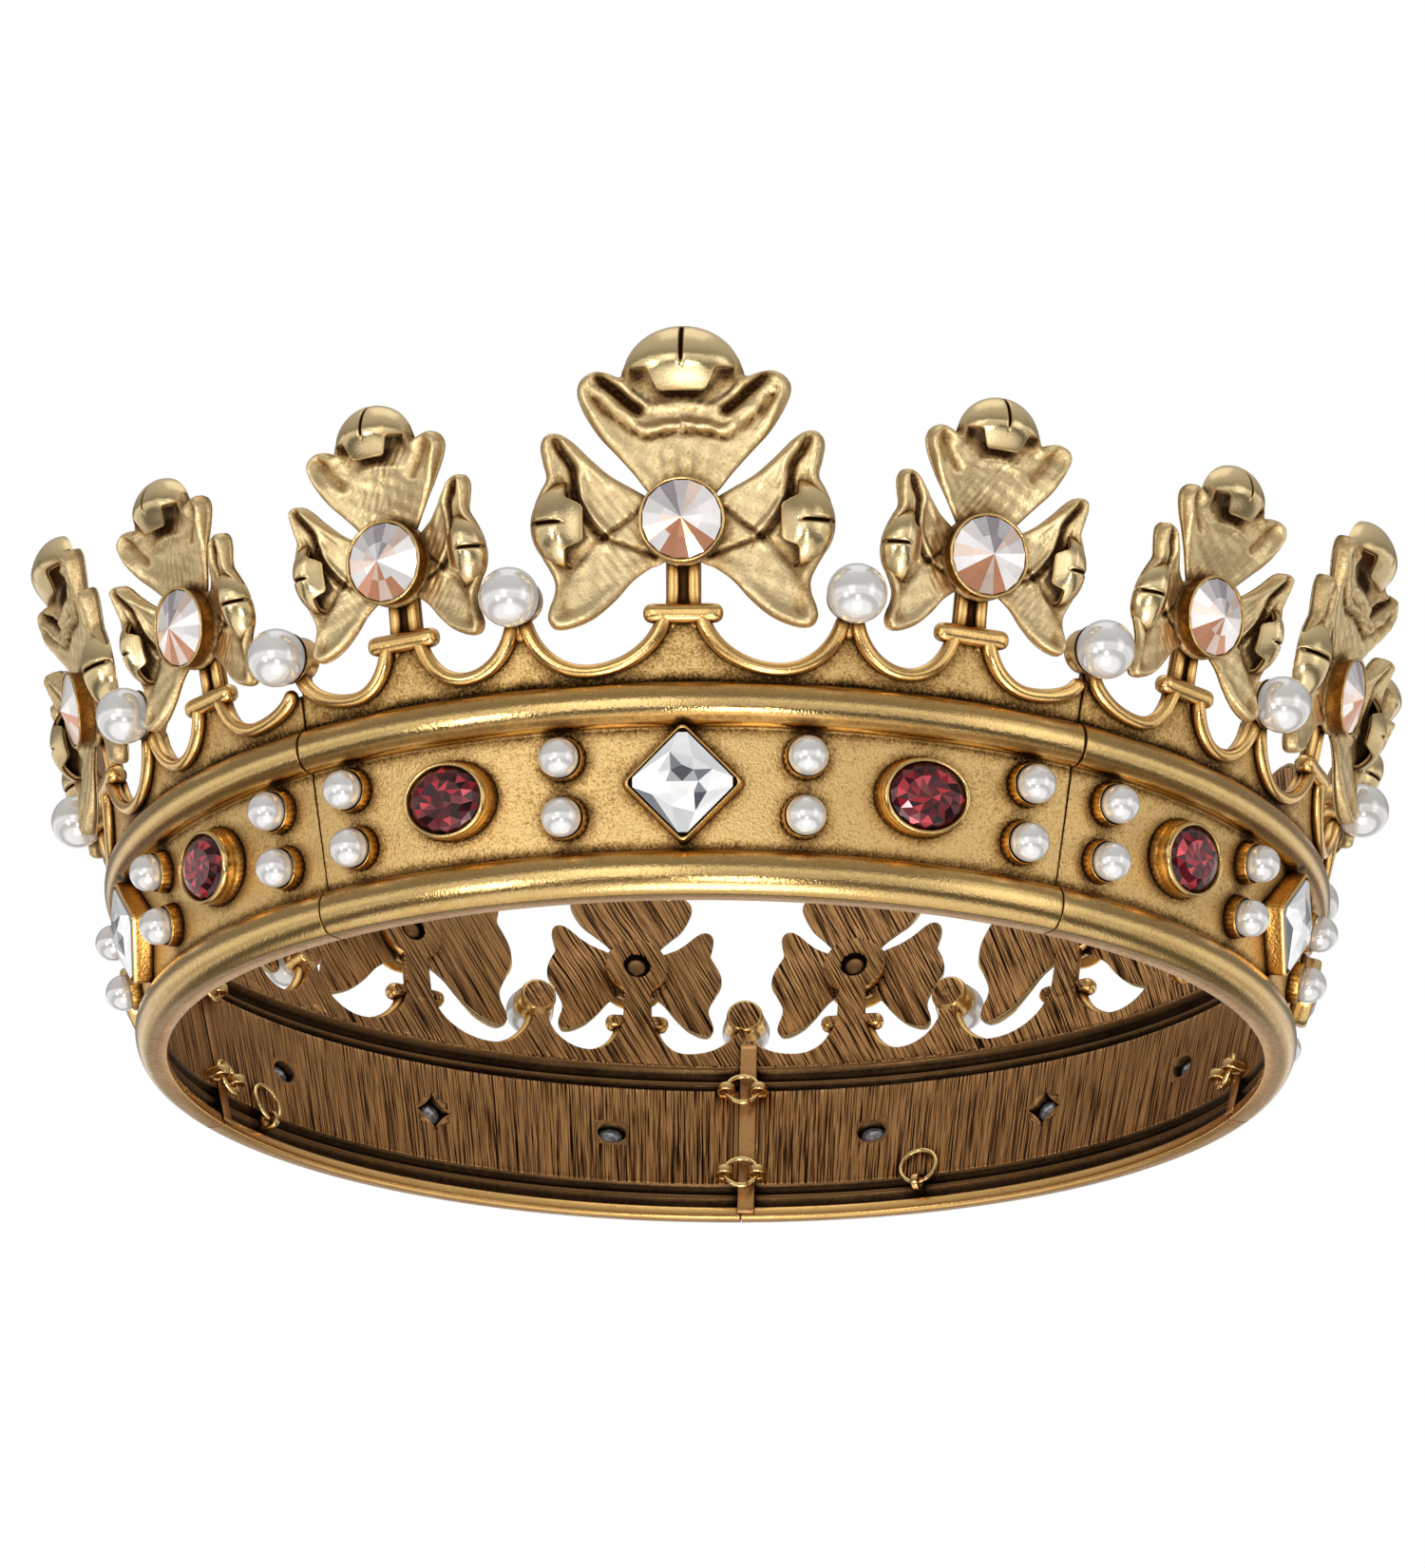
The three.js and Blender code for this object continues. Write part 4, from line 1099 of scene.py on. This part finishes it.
def hood(b, centre, axis_deg, rx, ry, rz, k, n0=0.9, mirror=False, thick=0.8):
    """A petal tip curled forward into a hood: a thick shell, slit down its crown, with a tongue and an opening at each side of it."""
    ph = np.radians(np.r_[np.linspace(-97, -8, 22), [-5.5, -4, -2.9, -2.1, -1.5, -1.0, -0.5, 0, 0.5, 1.0, 1.5, 2.1, 2.9, 4, 5.5], np.linspace(8, 97, 22)])
    ap = np.degrees(np.abs(ph))
    vmax = 108 - 25 * sstep(ap, 22, 36) + 14 * sstep(ap, 66, 88)
    vs = np.r_[0.0, 0.04, np.linspace(0.09, 0.9, 16), 0.94, 0.97, 1.0]

    def surf(f, cut):
        P = np.zeros((len(vs), len(ph), 3))
        pat = np.zeros((len(vs), len(ph)))
        for i, s in enumerate(vs):
            v = np.radians(s * vmax)
            sx = np.sin(v)
            x = (rx - f) * sx * np.sin(ph)
            y = (ry - f) * np.cos(v)
            z = (rz - f) * sx * np.cos(ph)
            # the hood is pinched a little above its opening, and its tongue curls in
            lip = sstep(np.degrees(v), 66, 112)
            z *= 1 - 0.40 * lip
            if cut:
                g = np.exp(-((x / 0.26) ** 2)) * sstep(np.degrees(v), 6, 14) * sstep(-np.degrees(v), -82, -70)
                z -= 0.75 * g
                y -= 0.5 * g * np.cos(v)
                pat[i] = 1.1 * g
                pat[i] += 0.35 * ridge(s, 1.0, 0.05)
            P[i] = np.stack([x, y, z], 1)
        return P, pat

    o, po = surf(0.0, True)
    inn, _ = surf(thick, False)
    pi = np.full(po.shape, 0.55)
    nv, npn = o.shape[:2]
    V = np.vstack([o.reshape(-1, 3), inn.reshape(-1, 3)])
    F = grid_faces(nv, npn)
    off = nv * npn
    F += [f[::-1] for f in grid_faces(nv, npn, base=off)]
    mats = [DOME] * ((nv - 1) * (npn - 1)) + [CUP] * ((nv - 1) * (npn - 1))
    for j in range(npn - 1):
        a, c = (nv - 1) * npn + j, (nv - 1) * npn + j + 1
        F.append((a, c, off + c, off + a)[::-1])
        mats.append(DOME)
    for i in range(nv - 1):
        a, c = i * npn, (i + 1) * npn
        F.append((a, c, off + c, off + a)[::-1])
        mats.append(DOME)
        a, c = i * npn + npn - 1, (i + 1) * npn + npn - 1
        F.append((a, c, off + c, off + a))
        mats.append(DOME)
    t = math.radians(axis_deg)
    # local y (crown of the hood) points along the petal
    R = np.array([[math.cos(t), -math.sin(t), 0], [math.sin(t), math.cos(t), 0], [0, 0, 1]])
    V = V @ R.T
    V[:, 0] += centre[0]
    V[:, 1] += centre[1]
    if mirror:
        V[:, 0] *= -1
    V[:, 2] = n0 + V[:, 2] * (0.35 + 0.65 * k)
    V[:, 2] = np.maximum(V[:, 2], 0.56)
    V = shape_fleuron(V, k)
    b.add(V, F, mats, np.r_[po.ravel(), pi.ravel()])


def fleuron_mesh(size):
    k = FLEURON[size][0]
    large = size == "large"
    b = Builder()
    petal(b, TOP_OUT, (0, 15.0), top_height(large), k)
    petal(b, SIDE_OUT, (12.0, -1.2), side_height(large), k)
    petal(b, SIDE_OUT, (12.0, -1.2), side_height(large), k, mirror=True)
    hood(b, (0, 21.8), 0, 9.0, 7.9, 5.9, k)
    hood(b, (16.7, -0.3), -90, 6.8, 6.1, 4.7, k)
    hood(b, (16.7, -0.3), -90, 6.8, 6.1, 4.7, k, mirror=True)
    # hub and the deep cup that holds the stone
    prof = [(0, 0.56), (6.2, 0.56), (6.5, 0.7), (6.6, 1.3), (6.2, 1.7), (5.95, 2.0), (5.95, 3.0), (6.1, 3.9), (6.3, 4.25), (6.45, 4.42), (6.42, 4.56), (6.2, 4.62), (6.02, 4.5),
            (5.9, 4.2), (5.6, 3.6), (2.0, 2.3), (0, 2.1)]
    mats = [INNER, INNER, PETAL, PETAL, CUP, CUP, CUP, CUP, ROD, RAIL, RAIL, RAIL, CUP, CUP, CUP, CUP]
    V, F = lathe(prof, 72)
    nj = len(prof) - 1
    g0, g1 = brush_diag(V[:, 0], V[:, 1])
    pat = np.where((V[:, 2] > 1.5) & (V[:, 2] < 4.0), 0.45, 0.0)
    b.add(V, F, [mats[i % nj] for i in range(len(F))], pat, np.stack([g0, g1, 0 * g0], 1))
    for i, v in enumerate(b.v):
        b.v[i] = v * 0.001
    return b.mesh("fleuron_" + size, METALS)


# ------------------------------------------------------------------ stones
def facet_mesh(name, verts, faces, tints, materials, mat_idx=None):
    """Flat facets, each with a colour of its own that carries painted reflection."""
    me = bpy.data.meshes.new(name)
    me.from_pydata((np.asarray(verts) * 0.001).tolist(), [], faces)
    me.polygons.foreach_set("use_smooth", np.zeros(len(faces), bool))
    if mat_idx is not None:
        me.polygons.foreach_set("material_index", np.array(mat_idx, np.int32))
    at = me.attributes.new("tint", "FLOAT_COLOR", "CORNER")
    col = []
    for p, t in zip(me.polygons, tints):
        col += [(*t, 1.0)] * p.loop_total
    at.data.foreach_set("color", np.array(col, np.float32).ravel())
    for m in materials:
        me.materials.append(m)
    me.update()
    bm = bmesh.new()
    bm.from_mesh(me)
    bmesh.ops.recalc_face_normals(bm, faces=bm.faces)
    bm.to_mesh(me)
    bm.free()
    return me


def rivoli_mesh(seed):
    r = np.random.default_rng(seed)
    n = 16
    th = np.linspace(0, 2 * math.pi, n, endpoint=False) + math.pi / n
    R = 5.92
    z0, z1, top = 4.15, 4.4, 6.25
    V = [(R * math.cos(t), R * math.sin(t), z0) for t in th]
    V += [(R * math.cos(t), R * math.sin(t), z1) for t in th]
    V += [(R * 0.5 * math.cos(t), R * 0.5 * math.sin(t), z1 + (top - z1) * 0.49) for t in th]
    V += [(0, 0, top), (0, 0, 2.35)]
    cap, low = 3 * n, 3 * n + 1
    F, T = [], []
    # painted reflection: the white, silver, grey, peach and copper facet tones stand for reflections and light play in
    # the champagne stone
    peach, white, silver, copper, grey = srgb(252, 226, 210), srgb(255, 250, 248), srgb(220, 214, 216), srgb(218, 152, 116), srgb(172, 164, 168)
    wedge = [white, white, peach, silver, grey, silver, white, white, peach, white, copper, copper, peach, copper, white, white]
    spin = int(r.integers(-1, 2))
    wedge = wedge[spin:] + wedge[:spin]
    for i in range(n):
        j = (i + 1) % n
        F.append((i, j, n + j, n + i))
        T.append(peach)
        F.append((n + i, n + j, 2 * n + j, 2 * n + i))
        T.append(tuple(np.array(wedge[i]) * r.uniform(0.72, 1.0)))
        F.append((2 * n + i, 2 * n + j, cap))
        T.append(tuple(np.array(wedge[(i + int(r.integers(0, 2))) % n]) * r.uniform(0.85, 1.0)))
        F.append((i, low, j))
        T.append(silver)
    return facet_mesh(f"rivoli_{seed}", V, F, T, [M_RIVOLI])


def square_mesh():
    r = np.random.default_rng(3)
    side = 11.5
    c = 1.0

    def ring(s, cut, z):
        h = s / 2
        pts = [(h, h - cut), (h - cut, h), (-h + cut, h), (-h, h - cut), (-h, -h + cut), (-h + cut, -h), (h - cut, -h), (h, -h + cut)]
        q = math.sqrt(0.5)
        return [(x * q - y * q, x * q + y * q, z) for x, y in pts]
    V = ring(side, c, 3.0) + ring(side, c, 3.45)
    # crown: a turned middle ring, then the table
    q = side / 2
    midr = []
    for i in range(8):
        t = math.radians(45 * i + 22.5 + 45)
        rad = q * (0.98 if i % 2 else 0.80)
        midr.append((rad * math.cos(t) * 0.86, rad * math.sin(t) * 0.86, 4.15))
    V += midr
    tab = [(q * 0.42 * math.cos(math.radians(45 * i + 45)), q * 0.42 * math.sin(math.radians(45 * i + 45)), 4.75) for i in range(8)]
    V += tab
    V += [(0, 0, 4.75), (0, 0, 0.6)]
    F, T = [], []
    # painted reflection: the white, grey and dark facets stand for what the clear crystal reflects, the dark table
    # facets for its dark centre
    white, clear, grey, dark = srgb(252, 252, 252), srgb(232, 234, 236), srgb(170, 174, 178), srgb(70, 72, 76)
    pal = [white, clear, white, white, srgb(140, 144, 150), clear, white, srgb(96, 100, 106)]
    for i in range(8):
        j = (i + 1) % 8
        F.append((i, j, 8 + j, 8 + i)); T.append(grey)
        F.append((8 + i, 8 + j, 16 + i)); T.append(pal[int(r.integers(0, 8))])
        F.append((8 + j, 16 + j, 16 + i)); T.append(pal[int(r.integers(0, 8))])
        F.append((16 + i, 16 + j, 24 + j)); T.append(pal[int(r.integers(0, 8))])
        F.append((16 + i, 24 + j, 24 + i)); T.append(pal[int(r.integers(0, 8))])
        F.append((24 + i, 24 + j, 32)); T.append(dark if i in (0, 1) else (grey if i in (2, 7) else white))
        F.append((i, 33, j)); T.append(grey)
    return facet_mesh("square_crystal", V, F, T, [M_SQUARE])


def oval_mesh(seed):
    r = np.random.default_rng(seed)
    n = 16
    rx, ry = 6.05, 4.95
    th = np.linspace(0, 2 * math.pi, n, endpoint=False)
    V = [(rx * math.cos(t), ry * math.sin(t), 2.55) for t in th]
    V += [(rx * math.cos(t), ry * math.sin(t), 2.95) for t in th]
    th2 = th + math.pi / n
    V += [(rx * 0.84 * math.cos(t), ry * 0.84 * math.sin(t), 3.62) for t in th2]
    V += [(rx * 0.60 * math.cos(t), ry * 0.60 * math.sin(t), 4.15) for t in th]
    # the table is broken into the facets seen through it
    V += [(rx * 0.30 * math.cos(t + 0.3), ry * 0.30 * math.sin(t + 0.3), 4.17) for t in th[::2]]
    V += [(0.4, -0.3, 4.18), (0, 0, 0.5)]
    F, T = [], []
    # garnet red, with lighter and darker facets as painted reflection
    pal = [srgb(70, 8, 18), srgb(112, 16, 30), srgb(172, 30, 46), srgb(34, 6, 12), srgb(130, 52, 56), srgb(214, 70, 80), srgb(86, 10, 22), srgb(50, 6, 14)]
    pick = lambda: tuple(np.array(pal[int(r.integers(0, 8))]) * r.uniform(0.8, 1.1))
    for i in range(n):
        j = (i + 1) % n
        F.append((i, j, n + j, n + i)); T.append(pal[3])
        F.append((n + i, n + j, 2 * n + i)); T.append(pal[3] if r.random() < 0.5 else pal[0])
        F.append((n + j, 2 * n + j, 2 * n + i)); T.append(pal[0] if r.random() < 0.6 else pick())
        F.append((2 * n + i, 2 * n + j, 3 * n + j)); T.append(pick())
        F.append((2 * n + i, 3 * n + j, 3 * n + i)); T.append(pick())
        F.append((i, 4 * n + n // 2 + 1, j)); T.append(pal[0])
    for i in range(n // 2):
        j = (i + 1) % (n // 2)
        a, bq, c = 3 * n + 2 * i, 3 * n + (2 * i + 1) % n, 3 * n + (2 * i + 2) % n
        m0, m1 = 4 * n + i, 4 * n + j
        F.append((a, bq, m0)); T.append(pick())
        F.append((bq, c, m1)); T.append(pick())
        F.append((bq, m1, m0)); T.append(pick())
        F.append((m0, m1, 4 * n + n // 2)); T.append(pick())
    return facet_mesh(f"oval_{seed}", V, F, T, [M_GARNET])


def foil_mesh(kind):
    """The stone's foiled back, seen in its window."""
    b = Builder()
    n = 24
    th = np.linspace(0, 2 * math.pi, n, endpoint=False)
    rx, ry = (2.62, 1.88) if kind == "oval" else (2.2, 2.2)
    V = [(rx * math.cos(t), ry * math.sin(t), -0.2) for t in th]
    V += [(rx * 0.62 * math.cos(t), ry * 0.62 * math.sin(t), -0.8) for t in th]
    V += [(rx * 0.2 * math.cos(t), ry * 0.2 * math.sin(t), -1.15) for t in th]
    F = grid_faces(3, n, cv=True)
    F += [tuple(range(n)), tuple(range(2 * n, 3 * n))[::-1]]
    r = np.random.default_rng(11)
    # painted reflection: each foil facet gets a random brightness, all lifted 1.7 times, over the foil's own grey
    tints = [tuple(np.array(srgb(150, 150, 158)) * r.uniform(0.35, 1.0) * (1.7 if i < 3 * n else 1.0)) for i, _ in enumerate(F)]
    return facet_mesh("foil_" + kind, V, F, tints, [M_FOIL])


def pearl_mesh(name, r, n0):
    """A pearl, very slightly out of round, with the flat where it is glued."""
    prof = []
    for t in np.linspace(-math.pi / 2, math.pi / 2, 30):
        rr = r * math.cos(t) * (1 + 0.006 * math.sin(3 * t))
        prof.append((max(rr, 0.0), n0 + max(r * math.sin(t), -r * 0.93)))
    prof[0] = (0, prof[0][1])
    prof[-1] = (0, prof[-1][1])
    V, F = lathe(prof, 48)
    b = Builder()
    b.add(V * 0.001, F)
    return b.mesh(name, [M_PEARL])


def ring_mesh(name, R, wire, gap_deg=0.0):
    """A jump ring of round wire: closed, with the fine line where its cut ends meet."""
    n, m = 72, 14
    th = np.linspace(0, 2 * math.pi, n, endpoint=False)
    ps = np.linspace(0, 2 * math.pi, m, endpoint=False)
    V = np.zeros((n, m, 3))
    pat = np.zeros((n, m))
    for i, t in enumerate(th):
        d = min(abs(t - 4.3), 2 * math.pi - abs(t - 4.3)) * R
        w = wire / 2 * (1 - 0.22 * math.exp(-(d / 0.12) ** 2))
        pat[i] = math.exp(-(d / 0.2) ** 2)
        V[i, :, 0] = (R + w * np.cos(ps)) * math.cos(t)
        V[i, :, 1] = (R + w * np.cos(ps)) * math.sin(t)
        V[i, :, 2] = w * np.sin(ps) + 0.03 * math.sin(2 * t)
    b = Builder()
    b.add(V.reshape(-1, 3) * 0.001, grid_faces(n, m, True, True), RING, pat.ravel())
    return b.mesh(name, METALS)


# ------------------------------------------------------------------ assembly
SCENE = bpy.context.scene


def put(name, me, matrix, body, slot, *nodes):
    ob = bpy.data.objects.new(name, me)
    SCENE.collection.objects.link(ob)
    ob.matrix_world = matrix
    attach(ob, body)
    if nodes:
        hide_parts(*nodes)
    return ob


SHIFT = Matrix.Translation((0, SHIFT_Y * 0.001, 0))


def at_seat(angle, a, u, n=0.0, extra=None):
    R, o = seat(a, u, n)
    m = Matrix(((R[0][0], R[0][1], R[0][2], o[0] * 0.001), (R[1][0], R[1][1], R[1][2], o[1] * 0.001), (R[2][0], R[2][1], R[2][2], o[2] * 0.001), (0, 0, 0, 1)))
    if extra is not None:
        m = m @ extra
    return SHIFT @ Matrix.Rotation(math.radians(angle), 4, "Z") @ m


seg_mesh = band_mesh("band_segment")
PINS = {"right": (159, "right_rear"), "left": (-117.5, "left_rear")}
fleurons = {s: fleuron_mesh(s) for s in FLEURON}
rivolis = [rivoli_mesh(s) for s in range(5)]
square = square_mesh()
ovals = [oval_mesh(s) for s in range(20, 24)]
foil_oval, foil_square = foil_mesh("oval"), foil_mesh("square")
pearl_small, pearl_big = pearl_mesh("band_pearl", 3.0, 3.0), pearl_mesh("crest_pearl", 4.5, 4.7)
link_mesh, pin_mesh = ring_mesh("jump_ring", 3.05, 0.9), ring_mesh("pin_ring", 3.45, 0.8)

turn_id = 0
for name, angle in PLACES.items():
    body = "segment_" + name
    me = seg_mesh
    for pin, (pa, where) in PINS.items():
        if where == name:
            me = band_mesh("band_segment_" + pin, pa - angle if pa * angle > 0 else pa - angle)
    put("cast_band_" + name, me, SHIFT @ Matrix.Rotation(math.radians(angle), 4, "Z"), body, "antique_gold", "band_" + name)
    for pos, at, size in (("left", -FLEURON_AT, "small"), ("centre", 0, "large"), ("right", FLEURON_AT, "small")):
        u = FLEURON[size][1]
        put(f"petals_{name}_{pos}", fleurons[size], at_seat(angle, at, u), body, "satin_gold", f"fleuron_{name}_{pos}")
        put(f"rivoli_{name}_{pos}", rivolis[turn_id % 5], at_seat(angle, at, u), body, "champagne_crystal", f"crystal_{name}_{pos}")
        turn_id += 1
    put(f"square_stone_{name}", square, at_seat(angle, 0, MID_U), body, "clear_crystal", f"square_crystal_{name}")
    put(f"square_foil_{name}", foil_square, at_seat(angle, 0, MID_U), body, "clear_crystal")
    for pos, s in (("left", -1), ("right", 1)):
        put(f"oval_stone_{name}_{pos}", ovals[turn_id % 4], at_seat(angle, s * 21.3, MID_U), body, "garnet")
        put(f"oval_foil_{name}_{pos}", foil_oval, at_seat(angle, s * 21.3, MID_U), body, "garnet")
        turn_id += 1
    i = 0
    for a in (-31.5, -10.66, 10.66, 31.5):
        for u in (12.26, 21.15):
            i += 1
            put(f"band_pearl_{name}_{i}", pearl_small, at_seat(angle, a, u), body, "pearl")
    for i, (a, u) in enumerate(((-SEG / 2, 43.3), (-13.9, 45.6), (13.9, 45.6))):
        put(f"crest_pearl_{name}_{i + 1}", pearl_big, at_seat(angle, a, u), body, "pearl")
for seam, a in SEAMS.items():
    for level, u in (("lower", 8.0), ("upper", 25.6)):
        n = f"link_{seam}_{level}"
        put("ring_" + n, link_mesh, at_seat(0, a, u, -4.1, Matrix.Rotation(math.radians(8), 4, "X")), n, "ring_gold", n)
for pin, (a, where) in PINS.items():
    n = "pin_ring_" + pin
    put("wire_" + n, pin_mesh, at_seat(0, a, 4.4, -3.3, Matrix.Rotation(math.radians(5), 4, "X") @ Matrix.Translation((0, 0.00345, 0))), n, "ring_gold", n)

# ------------------------------------------------------------------ camera
target = Vector((0, SHIFT_Y * 0.001, 0.02375))
eye = Vector((0.0409, -0.7686 + SHIFT_Y * 0.001, -0.2308))
f = (target - eye).normalized()
r = f.cross(Vector((0, 0, 1))).normalized()
up = r.cross(f).normalized()
roll = math.radians(-0.5445)
r, up = r * math.cos(roll) - up * math.sin(roll), r * math.sin(roll) + up * math.cos(roll)
p = math.atan(164.5 / 5084.8)
f, up = f * math.cos(p) + up * math.sin(p), up * math.cos(p) - f * math.sin(p)
p = math.atan(4.6 / 5084.8)
f, r = f * math.cos(p) - r * math.sin(p), r * math.cos(p) + f * math.sin(p)
cam_data = bpy.data.cameras.new("camera")
cam_data.lens = 110.94
cam_data.sensor_width = 36.0
cam_data.clip_start, cam_data.clip_end = 0.01, 50
cam = bpy.data.objects.new("camera", cam_data)
SCENE.collection.objects.link(cam)
m = Matrix((r, up, -f)).transposed().to_4x4()
m.translation = eye
cam.matrix_world = m
SCENE.camera = cam

# ------------------------------------------------------------------ studio
world = bpy.data.worlds.new("studio")
SCENE.world = world
world.use_nodes = True
nt = world.node_tree
nt.nodes.clear()
out = nt.nodes.new("ShaderNodeOutputWorld")
tc = nt.nodes.new("ShaderNodeTexCoord")
sep = nt.nodes.new("ShaderNodeSeparateXYZ")
nt.links.new(tc.outputs["Generated"], sep.inputs[0])
zz = math_node(nt, "ADD", math_node(nt, "MULTIPLY", sep.outputs["Z"], 0.5), 0.5)
env = ramp(nt, zz, [(0.0, (0.95, 0.95, 0.95)), (0.14, (0.9, 0.9, 0.9)), (0.19, (0.15, 0.14, 0.13)), (0.31, (0.11, 0.10, 0.09)), (0.36, (0.85, 0.85, 0.85)), (0.385, (0.8, 0.79, 0.78)), (0.415, (0.30, 0.28, 0.26)), (0.45, (0.8, 0.79, 0.78)),
                    (0.55, (0.9, 0.9, 0.9)), (0.62, (0.22, 0.21, 0.2)), (0.72, (0.3, 0.29, 0.28)), (1.0, (0.62, 0.61, 0.6))])
bg1 = nt.nodes.new("ShaderNodeBackground")
nt.links.new(env.outputs[0], bg1.inputs["Color"])
bg1.inputs["Strength"].default_value = 1.05
bg2 = nt.nodes.new("ShaderNodeBackground")
bg2.inputs["Color"].default_value = (1, 1, 1, 1)
bg2.inputs["Strength"].default_value = 1.0
lp = nt.nodes.new("ShaderNodeLightPath")
mix = nt.nodes.new("ShaderNodeMixShader")
nt.links.new(lp.outputs["Is Camera Ray"], mix.inputs[0])
nt.links.new(bg1.outputs[0], mix.inputs[1])
nt.links.new(bg2.outputs[0], mix.inputs[2])
nt.links.new(mix.outputs[0], out.inputs[0])


def area(name, loc, size, energy, look=(0, 0, 0.03), color=(1, 1, 1)):
    d = bpy.data.lights.new(name, "AREA")
    d.shape = "RECTANGLE"
    d.size, d.size_y = size
    d.energy = energy
    d.color = color
    o = bpy.data.objects.new(name, d)
    SCENE.collection.objects.link(o)
    o.location = loc
    o.rotation_mode = "QUATERNION"
    o.rotation_quaternion = (Vector(loc) - Vector(look)).to_track_quat("Z", "Y")
    return o


area("key_below", (0.05, -0.45, -0.85), (0.5, 0.4), 1.5)
area("key_front", (-0.35, -1.25, -0.1), (0.5, 0.7), 1.0)
area("glint_low", (0.12, -1.0, -0.62), (0.16, 0.16), 1.6)
area("glint_left", (-0.75, -0.9, -0.35), (0.2, 0.3), 1.5)
area("fill_right", (1.1, -0.7, 0.1), (0.5, 0.9), 0.9)
area("inside", (0.0, -0.3, -0.8), (0.25, 0.25), 0.5, look=(0, 0.09, 0.03))
area("top_soft", (0.0, -0.1, 1.1), (0.8, 0.8), 0.9)

SCENE.view_settings.view_transform = "Standard"
SCENE.view_settings.look = "None"
SCENE.view_settings.exposure = 0.0
